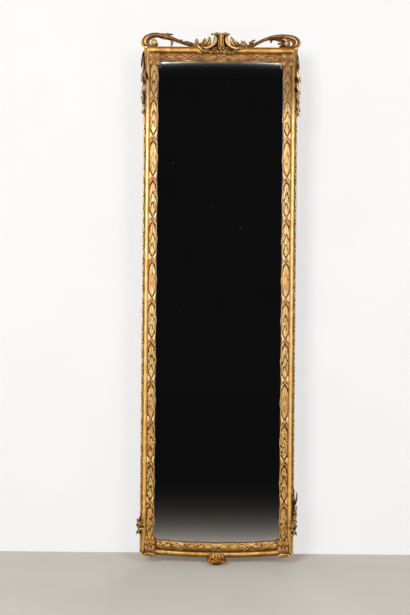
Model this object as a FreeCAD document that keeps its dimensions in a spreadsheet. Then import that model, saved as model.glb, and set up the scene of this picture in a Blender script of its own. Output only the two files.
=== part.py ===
import FreeCAD, Part
import os
import re
import Sketcher

# A tall gilt pier mirror that hangs on a wall. X runs to the viewer's right, Z up, and the wall is the
# plane Y = 0. Depths are counted from the wall towards the viewer, so a depth d lies at Y = -d.

SIZES = {
    # gilt frame, seen from the front
    "frame_width": 740,
    "frame_height": 2440,
    "bottom_bow": 19,
    # parts of the moulding, from its outer edge to the glass
    "ledge_width": 10,
    "roll_width": 18,
    "cove_width": 6,
    "laurel_width": 34,
    # heights of those parts above the moulding's back
    "ledge_height": 20,
    "roll_base": 26,
    "roll_rise": 7,
    "laurel_bed": 18,
    "laurel_rise": 15,
    "bead_rise": 4.6,
    # corner blocks
    "block_size": 58,
    "block_height": 16,
    "block_side_inset": 20,
    "block_top_inset": 34,
    "block_bottom_inset": 10,
    "block_border": 6,
    "block_recess": 2,
    "rosette_radius": 19,
    "rosette_rise": 8,
    # crest
    "scroll_overhang": 16,
    "scroll_rise": 71,
    "scroll_thickness": 20,
    "scroll_tail_reach": 144,
    "palmette_width": 48,
    "palmette_stem_width": 32,
    "palmette_rise": 73,
    "lobe_width": 36,
    "lobe_rise": 46,
    "crest_leaf_width": 38,
    "crest_leaf_rise": 49,
    "crest_leaf_thickness": 26,
    "sprig_width": 28,
    "sprig_rise": 39,
    "sprig_thickness": 16,
    "crest_gap": 2,
    "spray_width": 236,
    "spray_drop": 42,
    "spray_overlap": 10,
    "spray_thickness": 12,
    # drops on the outer ledges
    "drop_overhang": 18,
    "drop_roll_gap": 0.5,
    "drop_thickness": 12,
    "upper_drop_length": 279,
    "upper_drop_inset": 49,
    "lower_drop_inset": 90,
    "short_drop_length": 88,
    "long_drop_length": 226,
    # leaf sprays and pendant at the bottom
    "corner_leaf_width": 77,
    "corner_leaf_height": 25,
    "corner_leaf_inset": 8,
    "corner_leaf_thickness": 9,
    "corner_leaf_pad_height": 12,
    "corner_leaf_gap": 1,
    "pendant_neck_width": 80,
    "pendant_neck_height": 24,
    "pendant_neck_thickness": 16,
    "pendant_shelf_width": 98,
    "pendant_shelf_height": 17,
    "pendant_shelf_depth": 42,
    "pendant_shelf_nosing": 2,
    "pendant_tip_width": 58,
    "pendant_tip_height": 15,
    "pendant_tip_thickness": 28,
    # mirror plate
    "glass_thickness": 5,
    "rebate_width": 14,
    "glass_edge_gap": 2,
    "glass_block_length": 40,
    # panelled back
    "back_thickness": 24,
    "back_inset": 18,
    "back_stile_width": 84,
    "back_rail_height": 80,
    "panel_thickness": 10,
    "groove_depth": 9,
    "panel_end_gap": 1,
    "tenon_length": 42,
    "tenon_end_gap": 1,
    "peg_radius": 4.5,
    "peg_spacing": 34,
    # battens that bear on the wall
    "batten_thickness": 16,
    "batten_height": 60,
    "batten_end_gap": 18,
    "batten_screw_inset": 40,
    # braces behind the crest
    "scroll_brace_inset": 14,
    "brace_width": 20,
    "brace_height": 62,
    "brace_thickness": 12,
    "brace_seat_gap": 1,
    "brace_screw_rise": 25,
    # screws
    "screw_head_radius": 5,
    "screw_head_height": 3.5,
    "screw_shank_radius": 2.2,
    "screw_bite": 12,
    "rail_screw_reach": 150,
    # strap hangers and their rings
    "hanger_drop": 340,
    "strap_width": 12,
    "strap_length": 70,
    "strap_thickness": 2,
    "strap_screw_pitch": 14,
    "strap_screw_end": 9,
    "ring_wire_radius": 2.5,
    "ring_radius": 20,
    "ring_clearance": 1.5,
}

PANEL_COUNT = 4
RAIL_COUNT = PANEL_COUNT + 1
STRAP_SCREWS = 3

doc = FreeCAD.newDocument("pier_mirror")
sheet = doc.addObject("Spreadsheet::Sheet", "Sizes")
for row, (alias, size) in enumerate(SIZES.items(), start=1):
    sheet.set(f"A{row}", str(size))
    sheet.setAlias(f"A{row}", alias)
doc.recompute()

SIZE_NAME = re.compile(r"\b(" + "|".join(sorted(SIZES, key=len, reverse=True)) + r")\b")
nodes = {}


# Expressions over the sheet

def linked(expression):
    """The expression with each size name pointing at the sheet."""
    return SIZE_NAME.sub(r"Sizes.\1", expression)


def number(expression):
    """The present value of an expression."""
    return float(sheet.evalExpression(linked(expression)))


def bind(item, place, expression):
    item.setExpression(place, linked(expression))


def bind_base(item, x, depth, z):
    """Ties where an item sits to the sheet; depth is counted from the wall."""
    bind(item, "Placement.Base.x", x)
    bind(item, "Placement.Base.y", f"-({depth})")
    bind(item, "Placement.Base.z", z)


# Solids

def box(label, x, depth, z):
    """A block between the two values of each pair."""
    item = doc.addObject("Part::Box", label)
    bind(item, "Length", f"({x[1]}) - ({x[0]})")
    bind(item, "Width", f"({depth[1]}) - ({depth[0]})")
    bind(item, "Height", f"({z[1]}) - ({z[0]})")
    bind_base(item, x[0], depth[1], z[0])
    return item


def towards_viewer(item):
    """Turns a round solid so that its axis runs from the wall to the viewer."""
    item.Placement = FreeCAD.Placement(
        FreeCAD.Vector(), FreeCAD.Rotation(FreeCAD.Vector(1, 0, 0), 90))


def rod(label, x, depth, z, radius, length):
    """A round bar towards the viewer, from the given depth on."""
    item = doc.addObject("Part::Cylinder", label)
    towards_viewer(item)
    bind(item, "Radius", radius)
    bind(item, "Height", length)
    bind_base(item, x, depth, z)
    return item


def fuse(label, shapes):
    item = doc.addObject("Part::MultiFuse", label)
    item.Shapes = shapes
    item.Refine = True
    return item


def cut(label, base, tools):
    """The base less its tools; tools may meet each other."""
    item = doc.addObject("Part::Cut", label)
    item.Base = base
    item.Tool = tools[0] if len(tools) == 1 else fuse(label + "_tools", tools)
    return item


def common(label, base, limit):
    item = doc.addObject("Part::Common", label)
    item.Base = base
    item.Tool = limit
    return item


def group(label, shapes):
    """Separate alike solids as one sub-part."""
    item = doc.addObject("Part::Compound", label)
    item.Links = shapes
    return item


def mirrored(label, source):
    """The same solid on the other side of the middle."""
    item = doc.addObject("Part::Mirroring", label)
    item.Source = source
    item.Normal = FreeCAD.Vector(1, 0, 0)
    return item


def subpart(label, item):
    """Names a finished piece of the mirror."""
    item.Label = label
    nodes[label] = item
    return item


# Sketched solids

def outline_sketch(body, plane_role, corners):
    """A closed outline on one of the body's planes. Each corner is (x, y, bulge), all expressions: the bulge
    of the edge to the next corner is twice its rise over its length, positive when the edge turns
    counterclockwise and 0 when it is straight."""
    sketch = body.newObject("Sketcher::SketchObject", body.Name + "_outline")
    plane = next(item for item in body.Origin.OriginFeatures if item.Role == plane_role)
    sketch.AttachmentSupport = [(plane, "")]
    sketch.MapMode = "FlatFace"
    points = [FreeCAD.Vector(number(x), number(y), 0) for x, y, _ in corners]
    turns = [number(f"{bulge}") for _, _, bulge in corners]
    edges = []
    for index, turn in enumerate(turns):
        start = points[index]
        end = points[(index + 1) % len(points)]
        if turn == 0:
            edge = sketch.addGeometry(Part.LineSegment(start, end))
        else:
            chord = end - start
            middle = (start + end) * 0.5 + FreeCAD.Vector(chord.y, -chord.x, 0) * (turn / 2)
            arc = Part.Arc(start, middle, end) if turn > 0 else Part.Arc(end, middle, start)
            edge = sketch.addGeometry(arc)
        edges.append((edge, 2 if turn < 0 else 1, 1 if turn < 0 else 2))
    for index, (x, y, bulge) in enumerate(corners):
        edge, first, last = edges[index]
        following, following_first, _ = edges[(index + 1) % len(edges)]
        sketch.addConstraint(Sketcher.Constraint("Coincident", edge, last, following, following_first))
        for kind, expression in (("DistanceX", x), ("DistanceY", y)):
            place = sketch.addConstraint(
                Sketcher.Constraint(kind, -1, 1, edge, first, number(expression)))
            bind(sketch, f"Constraints[{place}]", expression)
        if turns[index] != 0:
            next_x, next_y, _ = corners[(index + 1) % len(corners)]
            chord = f"sqrt((({next_x}) - ({x}))^2 + (({next_y}) - ({y}))^2)"
            radius = f"{chord} * (1 + ({bulge})^2) / (4 * abs({bulge}))"
            place = sketch.addConstraint(Sketcher.Constraint("Radius", edge, number(radius)))
            bind(sketch, f"Constraints[{place}]", radius)
    return sketch


def plate(label, corners, depth, thickness):
    """A board sawn to an outline seen from the front, from the given depth towards the viewer."""
    body = doc.addObject("PartDesign::Body", label)
    sketch = outline_sketch(body, "XZ_Plane", corners)
    bind(sketch, "AttachmentOffset.Base.z", depth)
    pad = body.newObject("PartDesign::Pad", label + "_pad")
    pad.Profile = sketch
    bind(pad, "Length", thickness)
    return body


def carved_plate(label, shape, x, z, depth, thickness):
    """A board whose outline is a shape in a unit square, stretched between the values of x and z."""
    corners = [
        (f"({x[0]}) + (({x[1]}) - ({x[0]})) * {across}", f"({z[0]}) + (({z[1]}) - ({z[0]})) * {up}", bulge)
        for across, up, bulge in shape]
    return plate(label, corners, depth, thickness)


def straight_length(label, profile, edge, length, upright=False):
    """A moulding length whose outer edge lies at the given distance from the middle: above it, or to its
    left when upright. The profile is (distance from the edge, depth, bulge)."""
    body = doc.addObject("PartDesign::Body", label)
    corners = [(f"-({depth})", f"({edge}) - ({across})", bulge) for across, depth, bulge in profile]
    sketch = outline_sketch(body, "YZ_Plane", corners)
    pad = body.newObject("PartDesign::Pad", label + "_pad")
    pad.Profile = sketch
    pad.SideType = "Symmetric"
    bind(pad, "Length", length)
    if upright:
        body.Placement = FreeCAD.Placement(
            FreeCAD.Vector(), FreeCAD.Rotation(FreeCAD.Vector(0, 1, 0), -90))
    return body


def bowed_length(label, profile, radius, axis_height, turn):
    """A moulding length bent round an axis towards the viewer, its outer edge below the axis."""
    body = doc.addObject("PartDesign::Body", label)
    corners = [(f"-({depth})", f"({across}) - ({radius})", f"-({bulge})") for across, depth, bulge in profile]
    sketch = outline_sketch(body, "YZ_Plane", corners)
    bind(sketch, "AttachmentOffset.Base.y", axis_height)
    revolution = body.newObject("PartDesign::Revolution", label + "_revolution")
    revolution.Profile = sketch
    revolution.ReferenceAxis = (sketch, ["H_Axis"])
    revolution.Midplane = True
    bind(revolution, "Angle", turn)
    return body


# Places that several pieces share

SIDE = "(frame_width / 2)"
TOP = "(frame_height / 2)"
LAUREL_EDGE = "(ledge_width + roll_width + cove_width)"
MOULDING_WIDTH = f"({LAUREL_EDGE} + laurel_width)"
SIGHT_SIDE = f"({SIDE} - {MOULDING_WIDTH})"
SIGHT_TOP = f"({TOP} - {MOULDING_WIDTH})"
BOW_RADIUS = f"(({SIDE}^2 + bottom_bow^2) / (2 * bottom_bow))"
BOW_AXIS = f"({BOW_RADIUS} - {TOP} - bottom_bow)"
BOW_BOTTOM = f"({TOP} + bottom_bow)"
SIGHT_CORNER = f"(sqrt(({BOW_RADIUS} - {MOULDING_WIDTH})^2 - {SIGHT_SIDE}^2) - {BOW_AXIS})"

BACK = "batten_thickness"
FRAME_BACK = f"({BACK} + back_thickness)"
LEDGE = f"({FRAME_BACK} + ledge_height)"
BED = f"({FRAME_BACK} + laurel_bed)"
FRONT = f"({FRAME_BACK} + max(roll_base + roll_rise; laurel_bed + laurel_rise))"
CLEAR_FRONT = f"(2 * {FRONT})"

REBATE_SIDE = f"({SIGHT_SIDE} + rebate_width)"
REBATE_TOP = f"({SIGHT_TOP} + rebate_width)"
REBATE_BOTTOM = f"({BOW_BOTTOM} - {MOULDING_WIDTH} + rebate_width)"

BACK_SIDE = f"({SIDE} - back_inset)"
BACK_TOP = f"({TOP} - back_inset)"
BACK_OPENING = f"({BACK_SIDE} - back_stile_width)"
PANEL_HEIGHT = f"((2 * {BACK_TOP} - {RAIL_COUNT} * back_rail_height) / {PANEL_COUNT})"
RAIL_PITCH = f"({PANEL_HEIGHT} + back_rail_height)"


def rail_middle(index):
    """Height of the middle of a rail of the panelled back, counted from the bottom."""
    return f"({RAIL_PITCH} * {index - (RAIL_COUNT - 1) / 2})"


# Screws

def screw(label, x, z, depth, length):
    """A countersunk wood screw driven from the back, its head flush at the given depth."""
    head = doc.addObject("Part::Cone", label + "_head")
    towards_viewer(head)
    bind(head, "Radius1", "screw_head_radius")
    bind(head, "Radius2", "screw_shank_radius")
    bind(head, "Height", "screw_head_height")
    bind_base(head, x, depth, z)
    shank = rod(label + "_shank", x, depth, z, "screw_shank_radius", length)
    return fuse(label, [head, shank])


def screws(label, places, depth, length):
    """Alike screws at places (x, z)."""
    return [screw(f"{label}_{index}", x, z, depth, length) for index, (x, z) in enumerate(places, start=1)]


# Gilt mouldings

ROLL_BULGE = "2 * roll_rise / roll_width"
MOULDING_PROFILE = [
    ("0", FRAME_BACK, 0),
    ("0", LEDGE, 0),
    ("ledge_width", LEDGE, 0),
    ("ledge_width", f"{FRAME_BACK} + roll_base", ROLL_BULGE),
    ("ledge_width + roll_width", f"{FRAME_BACK} + roll_base", -0.45),
    (LAUREL_EDGE, BED, 0),
    (MOULDING_WIDTH, BED, 0),
    (MOULDING_WIDTH, FRAME_BACK, 0),
]
LAUREL_PROFILE = [
    (LAUREL_EDGE, BED, "2 * laurel_rise / laurel_width"),
    (MOULDING_WIDTH, BED, 0),
]
BEAD_PROFILE = [
    ("0", LEDGE, "2 * bead_rise / ledge_width"),
    ("ledge_width", LEDGE, 0),
]
BOW_TURN = f"2.2 * asin({SIDE} / {BOW_RADIUS})"

rebate = box(
    "rebate", (f"-{REBATE_SIDE}", REBATE_SIDE), (FRAME_BACK, f"{FRAME_BACK} + glass_thickness"),
    (f"-{REBATE_BOTTOM}", REBATE_TOP))


# Corner blocks, let into the mouldings down to the laurel bed

BLOCK_TOP_EDGES = (f"{TOP} - block_top_inset - block_size", f"{TOP} - block_top_inset")
BLOCK_BOTTOM_EDGES = (f"block_bottom_inset - {TOP}", f"block_bottom_inset + block_size - {TOP}")
BLOCK_OUTER = f"({SIDE} - block_side_inset)"
BLOCK_INNER = f"({BLOCK_OUTER} - block_size)"
BLOCK_FACE = f"({BED} + block_height)"


def corner_block(label, heights):
    """A square block with a sunk field; returns the block before the field is sunk, and the block."""
    blank = box(label + "_blank", (f"-{BLOCK_OUTER}", f"-{BLOCK_INNER}"), (BED, BLOCK_FACE), heights)
    field = box(
        label + "_field", (f"block_border - {BLOCK_OUTER}", f"-{BLOCK_INNER} - block_border"),
        (f"{BLOCK_FACE} - block_recess", CLEAR_FRONT),
        (f"{heights[0]} + block_border", f"{heights[1]} - block_border"))
    return blank, cut(label + "_left", blank, [field])


def rosette(label, heights):
    """A domed flower on the sunk field: a ring of petals under a button."""
    x = f"-({BLOCK_OUTER} + {BLOCK_INNER}) / 2"
    z = f"(({heights[0]}) + ({heights[1]})) / 2"
    floor = f"{BLOCK_FACE} - block_recess"
    petals = doc.addObject("Part::Cone", label + "_petals")
    towards_viewer(petals)
    bind(petals, "Radius1", "rosette_radius")
    bind(petals, "Radius2", "rosette_radius * 0.6")
    bind(petals, "Height", "rosette_rise * 0.6")
    bind_base(petals, x, floor, z)
    button = rod(label + "_button", x, floor, z, "rosette_radius * 0.35", "rosette_rise")
    return fuse(label, [petals, button])


top_blank, top_block = corner_block("top_block", BLOCK_TOP_EDGES)
bottom_blank, bottom_block = corner_block("bottom_block", BLOCK_BOTTOM_EDGES)
subpart("top_left_corner_block", top_block)
subpart("bottom_left_corner_block", bottom_block)
subpart("top_right_corner_block", mirrored("top_block_right", top_block))
subpart("bottom_right_corner_block", mirrored("bottom_block_right", bottom_block))
block_blanks = [
    top_blank, bottom_blank,
    mirrored("top_blank_right", top_blank), mirrored("bottom_blank_right", bottom_blank)]
left_rosettes = [rosette("top_rosette", BLOCK_TOP_EDGES), rosette("bottom_rosette", BLOCK_BOTTOM_EDGES)]
right_rosettes = [mirrored(item.Label + "_right", item) for item in left_rosettes]
subpart("corner_rosettes", group("rosette_group", left_rosettes + right_rosettes))


# Screws between the gilt frame, the panelled back, the battens, the braces and the crest

CONTACT_SIDE = f"({BACK_SIDE} + {REBATE_SIDE}) / 2"
CONTACT_TOP = f"({BACK_TOP} + {REBATE_TOP}) / 2"
CONTACT_BOTTOM = f"({BACK_TOP} + {REBATE_BOTTOM}) / 2"
BRACE_BACK = f"({FRAME_BACK} - brace_thickness)"
BRACE_FOOT = f"({BACK_TOP} + brace_seat_gap)"
SCROLL_BRACE = f"({SIDE} - scroll_brace_inset)"

panel_middles = [f"{rail_middle(index)} + {RAIL_PITCH} / 2" for index in range(PANEL_COUNT)]
frame_screw_places = [(f"{sign}{CONTACT_SIDE}", z) for sign in ("-", "") for z in panel_middles]
frame_screw_places += [(f"{sign}rail_screw_reach", CONTACT_TOP) for sign in ("-", "")]
frame_screw_places += [(f"{sign}rail_screw_reach", f"-{CONTACT_BOTTOM}") for sign in ("-", "")]
frame_screws = screws("frame_screw", frame_screw_places, BACK, "back_thickness + screw_bite")

batten_rails = range(1, RAIL_COUNT - 1)
BATTEN_SIDE = f"({BACK_OPENING} - batten_end_gap)"
BATTEN_SCREW_REACH = f"({BATTEN_SIDE} - batten_screw_inset)"
batten_screw_places = [
    (f"{BATTEN_SCREW_REACH} * {share}", rail_middle(index))
    for index in batten_rails for share in (-1, -1 / 3, 1 / 3, 1)]
batten_screws = screws("batten_screw", batten_screw_places, "0", "batten_thickness + screw_bite")

brace_places = {
    "left_scroll_brace": f"-{SCROLL_BRACE}",
    "crest_brace": "0",
    "right_scroll_brace": SCROLL_BRACE,
}
brace_screw_places = [
    (x, z) for x in brace_places.values()
    for z in (f"({BACK_TOP} + brace_seat_gap + {TOP}) / 2", f"{TOP} + brace_screw_rise")]
brace_screws = screws("brace_screw", brace_screw_places, BRACE_BACK, "brace_thickness + screw_bite")

subpart("frame_screws", group("frame_screw_group", frame_screws))
subpart("batten_screws", group("batten_screw_group", batten_screws))
subpart("brace_screws", group("brace_screw_group", brace_screws))


# Stiles and rails of the gilt frame, mitred where they meet

def mitred(label, blank, elevation):
    """A moulding length cut to its outline, rebated for the plate and housed for the corner blocks."""
    limit = plate(label + "_outline", [(x, z, 0) for x, z in elevation], "0", CLEAR_FRONT)
    length = common(label + "_mitred", blank, limit)
    return cut(label + "_housed", length, [rebate] + block_blanks + frame_screws + brace_screws)


stile = mitred(
    "stile",
    straight_length("stile_blank", MOULDING_PROFILE, SIDE, "frame_height", upright=True),
    [(f"-{SIDE}", f"-{TOP}"), (f"-{SIGHT_SIDE}", f"-{SIGHT_CORNER}"),
     (f"-{SIGHT_SIDE}", SIGHT_TOP), (f"-{SIDE}", TOP)])
subpart("left_stile_moulding", stile)
subpart("right_stile_moulding", mirrored("stile_right", stile))
subpart("top_rail_moulding", mitred(
    "top_rail",
    straight_length("top_rail_blank", MOULDING_PROFILE, TOP, "frame_width"),
    [(f"-{SIDE}", TOP), (f"-{SIGHT_SIDE}", SIGHT_TOP), (SIGHT_SIDE, SIGHT_TOP), (SIDE, TOP)]))
subpart("bottom_rail_moulding", mitred(
    "bottom_rail",
    bowed_length("bottom_rail_blank", MOULDING_PROFILE, BOW_RADIUS, BOW_AXIS, BOW_TURN),
    [(f"-{SIDE}", f"-{TOP}"), (f"-{SIGHT_SIDE}", f"-{SIGHT_CORNER}"),
     (SIGHT_SIDE, f"-{SIGHT_CORNER}"), (SIDE, f"-{TOP}"),
     (SIDE, f"-{TOP} - 2 * bottom_bow"), (f"-{SIDE}", f"-{TOP} - 2 * bottom_bow")]))


# Laurel between the corner blocks, and bead-and-reel strips between the drops

def between(label, blank, x, z):
    """The stretch of a moulding length between two blocks."""
    return common(label, blank, box(label + "_limit", x, ("0", CLEAR_FRONT), z))


side_laurel = between(
    "side_laurel",
    straight_length("side_laurel_blank", LAUREL_PROFILE, SIDE, "frame_height", upright=True),
    (f"-{SIDE}", "0"), (BLOCK_BOTTOM_EDGES[1], BLOCK_TOP_EDGES[0]))
subpart("left_laurel", side_laurel)
subpart("right_laurel", mirrored("side_laurel_right", side_laurel))
subpart("top_laurel", straight_length("top_laurel_blank", LAUREL_PROFILE, TOP, f"2 * {BLOCK_INNER}"))
subpart("bottom_laurel", between(
    "bottom_laurel_piece",
    bowed_length("bottom_laurel_blank", LAUREL_PROFILE, BOW_RADIUS, BOW_AXIS, BOW_TURN),
    (f"-{BLOCK_INNER}", BLOCK_INNER), (f"-2 * {TOP}", "0")))

UPPER_DROP_EDGES = (f"{TOP} - upper_drop_inset - upper_drop_length", f"{TOP} - upper_drop_inset")
DROP_FOOT = f"(lower_drop_inset - {TOP})"


def bead_strip(label, drop_length):
    """A left-hand strip from the top of a lower drop of this length to the upper drop."""
    foot = f"({DROP_FOOT} + {drop_length})"
    strip = straight_length(label, BEAD_PROFILE, SIDE, f"({UPPER_DROP_EDGES[0]}) - {foot}", upright=True)
    bind(strip, "Placement.Base.z", f"(({UPPER_DROP_EDGES[0]}) + {foot}) / 2")
    return strip


subpart("left_bead_strip", bead_strip("short_drop_strip", "short_drop_length"))
subpart("right_bead_strip", mirrored("strip_right", bead_strip("long_drop_strip", "long_drop_length")))


# Drops of leaves on the outer ledges

DROP_SHAPE = [
    (0.80, 0.00, -0.20), (0.10, 0.26, 0.20), (0.42, 0.33, -0.20), (0.00, 0.58, 0.20), (0.40, 0.65, -0.20),
    (0.05, 0.90, -0.30), (0.55, 1.00, 0), (1.00, 1.00, 0), (1.00, 0.00, 0)]


def drop(label, heights):
    return carved_plate(
        label, DROP_SHAPE, (f"-({SIDE} + drop_overhang)", f"ledge_width - drop_roll_gap - {SIDE}"),
        heights, LEDGE, "drop_thickness")


upper_drop = drop("upper_drop", UPPER_DROP_EDGES)
subpart("upper_left_drop", upper_drop)
subpart("upper_right_drop", mirrored("upper_drop_right", upper_drop))
subpart("lower_left_drop", drop("short_drop", (DROP_FOOT, f"{DROP_FOOT} + short_drop_length")))
subpart("lower_right_drop", mirrored(
    "long_drop_right", drop("long_drop", (DROP_FOOT, f"{DROP_FOOT} + long_drop_length"))))


# Crest, standing on the top rail

SCROLL_SHAPE = [
    (0.02, 0.00, -0.45), (0.25, 1.00, -0.08), (0.61, 0.76, -0.06), (1.00, 0.09, 0), (1.00, 0.00, 0),
    (0.92, 0.00, 0.06), (0.61, 0.41, 0.08), (0.28, 0.64, 0.35), (0.15, 0.33, 0.30), (0.20, 0.25, -0.95),
    (0.32, 0.25, 0), (0.32, 0.00, 0)]
STEM_LEFT = "(0.5 - palmette_stem_width / palmette_width / 2)"
STEM_RIGHT = "(0.5 + palmette_stem_width / palmette_width / 2)"
PALMETTE_SHAPE = [
    (STEM_LEFT, 0.00, 0), (STEM_LEFT, 0.66, 0.20), (0.00, 0.82, -0.55), (0.20, 0.96, -0.08),
    (0.80, 0.96, -0.55), (1.00, 0.82, 0.20), (STEM_RIGHT, 0.66, 0), (STEM_RIGHT, 0.00, 0)]
LOBE_SHAPE = [
    (0.10, 0.00, -0.55), (0.10, 0.36, 0.20), (0.55, 0.96, -0.60), (1.00, 0.85, 0), (1.00, 0.00, 0)]
CREST_LEAF_SHAPE = [
    (0.25, 0.00, -0.15), (0.00, 0.75, -0.55), (0.30, 0.82, 0.10), (0.42, 0.62, -0.10), (0.58, 0.96, -0.45),
    (0.95, 0.86, -0.10), (1.00, 0.00, 0)]
SPRIG_SHAPE = [
    (0.55, 0.00, -0.20), (0.00, 0.62, -0.20), (0.08, 0.98, -0.25), (0.46, 0.66, 0.15), (1.00, 0.55, -0.15),
    (1.00, 0.00, 0)]
SPRAY_SHAPE = [
    (0.00, 0.62, -0.30), (0.10, 0.92, 0.10), (0.30, 0.80, -0.20), (0.50, 1.00, -0.20), (0.70, 0.80, 0.10),
    (0.90, 0.92, -0.30), (1.00, 0.62, 0.10), (0.82, 0.25, -0.10), (0.60, 0.00, 0.10), (0.40, 0.00, -0.10),
    (0.18, 0.25, 0.10)]

LOBE_INNER = "(palmette_stem_width / 2 + crest_gap)"
LOBE_OUTER = f"({LOBE_INNER} + lobe_width)"
LEAF_OUTER = f"({LOBE_OUTER} + crest_gap + crest_leaf_width)"
SPRIG_OUTER = f"({LEAF_OUTER} + crest_gap + sprig_width)"
FRAME_TO_FRONT = f"{FRONT} - {FRAME_BACK}"

scroll = cut("scroll_drilled", carved_plate(
    "scroll", SCROLL_SHAPE, (f"-({SIDE} + scroll_overhang)", "-scroll_tail_reach"),
    (TOP, f"{TOP} + scroll_rise"), FRAME_BACK, "scroll_thickness"), brace_screws)
palmette = cut("palmette_drilled", carved_plate(
    "palmette", PALMETTE_SHAPE, ("-palmette_width / 2", "palmette_width / 2"),
    (TOP, f"{TOP} + palmette_rise"), FRAME_BACK, FRAME_TO_FRONT), brace_screws)
lobe = carved_plate(
    "lobe", LOBE_SHAPE, (f"-{LOBE_OUTER}", f"-{LOBE_INNER}"), (TOP, f"{TOP} + lobe_rise"),
    FRAME_BACK, FRAME_TO_FRONT)
crest_leaf = carved_plate(
    "leaf", CREST_LEAF_SHAPE, (f"-{LEAF_OUTER}", f"-{LOBE_OUTER} - crest_gap"),
    (TOP, f"{TOP} + crest_leaf_rise"), FRAME_BACK, "crest_leaf_thickness")
sprig = carved_plate(
    "sprig", SPRIG_SHAPE, (f"-{SPRIG_OUTER}", f"-{LEAF_OUTER} - crest_gap"),
    (TOP, f"{TOP} + sprig_rise"), FRAME_BACK, "sprig_thickness")
subpart("crest_palmette", palmette)
for name, item in (("scroll", scroll), ("lobe", lobe), ("leaf", crest_leaf), ("sprig", sprig)):
    subpart(f"left_crest_{name}", item)
    subpart(f"right_crest_{name}", mirrored(f"{name}_right", item))
subpart("crest_spray", carved_plate(
    "spray", SPRAY_SHAPE, ("-spray_width / 2", "spray_width / 2"),
    (f"{TOP} - spray_drop", f"{TOP} + spray_overlap"), FRONT, "spray_thickness"))


# Leaves under the bottom corners, and the pendant

CORNER_LEAF_SHAPE = [
    (0.02, 0.55, -0.30), (0.20, 1.00, 0), (0.90, 1.00, -0.30), (1.00, 0.55, -0.20), (0.62, 0.20, 0.10),
    (0.45, 0.00, -0.20), (0.20, 0.15, -0.10)]
TIP_SHAPE = [(0.00, 1.00, 0), (1.00, 1.00, -0.20), (0.62, 0.10, -0.30), (0.38, 0.10, -0.20)]
NECK_SHAPE = [(0.06, 0.00, 0.10), (0.00, 1.00, 0), (1.00, 1.00, 0.10), (0.94, 0.00, 0)]
CORNER_LEAF_TOP = f"(block_bottom_inset - {TOP} - corner_leaf_gap)"
CORNER_LEAF_OUTER = f"({SIDE} - corner_leaf_inset)"
CORNER_LEAF_INNER = f"({CORNER_LEAF_OUTER} - corner_leaf_width)"
PAD_INNER = f"({CORNER_LEAF_OUTER} - corner_leaf_width * 0.8)"
PAD_TOP = f"({BOW_AXIS} - sqrt({BOW_RADIUS}^2 - {PAD_INNER}^2) + ledge_width - corner_leaf_gap)"

corner_leaf = fuse("corner_leaf", [
    carved_plate(
        "corner_leaf_front", CORNER_LEAF_SHAPE, (f"-{CORNER_LEAF_OUTER}", f"-{CORNER_LEAF_INNER}"),
        (f"{CORNER_LEAF_TOP} - corner_leaf_height", CORNER_LEAF_TOP), FRONT, "corner_leaf_thickness"),
    box(
        "corner_leaf_pad", (f"corner_leaf_width * 0.3 - {CORNER_LEAF_OUTER}", f"-{PAD_INNER}"),
        (LEDGE, FRONT), (f"{PAD_TOP} - corner_leaf_pad_height", PAD_TOP))])
subpart("left_bottom_leaf", corner_leaf)
subpart("right_bottom_leaf", mirrored("corner_leaf_right", corner_leaf))

SHELF_FRONT = f"({FRONT} + pendant_neck_thickness + pendant_shelf_nosing)"
SHELF_FOOT = f"({BOW_BOTTOM} + pendant_shelf_height)"
neck = carved_plate(
    "pendant_neck", NECK_SHAPE, ("-pendant_neck_width / 2", "pendant_neck_width / 2"),
    (f"-{BOW_BOTTOM}", f"pendant_neck_height - {BOW_BOTTOM}"), FRONT, "pendant_neck_thickness")
shelf = box(
    "pendant_shelf", ("-pendant_shelf_width / 2", "pendant_shelf_width / 2"),
    (f"{SHELF_FRONT} - pendant_shelf_depth", SHELF_FRONT), (f"-{SHELF_FOOT}", f"-{BOW_BOTTOM}"))
pendant_tip = carved_plate(
    "pendant_tip", TIP_SHAPE, ("-pendant_tip_width / 2", "pendant_tip_width / 2"),
    (f"-{SHELF_FOOT} - pendant_tip_height", f"-{SHELF_FOOT}"),
    f"{SHELF_FRONT} - (pendant_shelf_depth + pendant_tip_thickness) / 2", "pendant_tip_thickness")
subpart("bottom_pendant", fuse("pendant", [neck, shelf, pendant_tip]))


# Mirror plate and the blocks that pack it

GLASS_DEPTH = (FRAME_BACK, f"{FRAME_BACK} + glass_thickness")
GLASS_SIDE = f"({REBATE_SIDE} - glass_edge_gap)"
subpart("mirror_plate", box(
    "plate", (f"-{GLASS_SIDE}", GLASS_SIDE), GLASS_DEPTH,
    (f"glass_edge_gap - {REBATE_BOTTOM}", f"{REBATE_TOP} - glass_edge_gap")))

packing = []
for side, sign in (("left", "-"), ("right", "")):
    x_middle = f"{sign}{SIGHT_SIDE} / 2"
    along = (f"{x_middle} - glass_block_length / 2", f"{x_middle} + glass_block_length / 2")
    edge = (f"-{REBATE_SIDE}", f"-{GLASS_SIDE}") if sign else (GLASS_SIDE, REBATE_SIDE)
    packing.append(box(f"{side}_foot_block", along, GLASS_DEPTH,
                       (f"-{REBATE_BOTTOM}", f"glass_edge_gap - {REBATE_BOTTOM}")))
    packing.append(box(f"{side}_head_block", along, GLASS_DEPTH,
                       (f"{REBATE_TOP} - glass_edge_gap", REBATE_TOP)))
    for level, share in (("lower", "-0.5"), ("upper", "0.5")):
        z_middle = f"{TOP} * {share}"
        packing.append(box(f"{side}_{level}_block", edge, GLASS_DEPTH,
                           (f"{z_middle} - glass_block_length / 2", f"{z_middle} + glass_block_length / 2")))
subpart("glass_blocks", group("packing", packing))


# Panelled back: tenoned rails between two stiles, panels in grooves, pegs through the tenons

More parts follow.
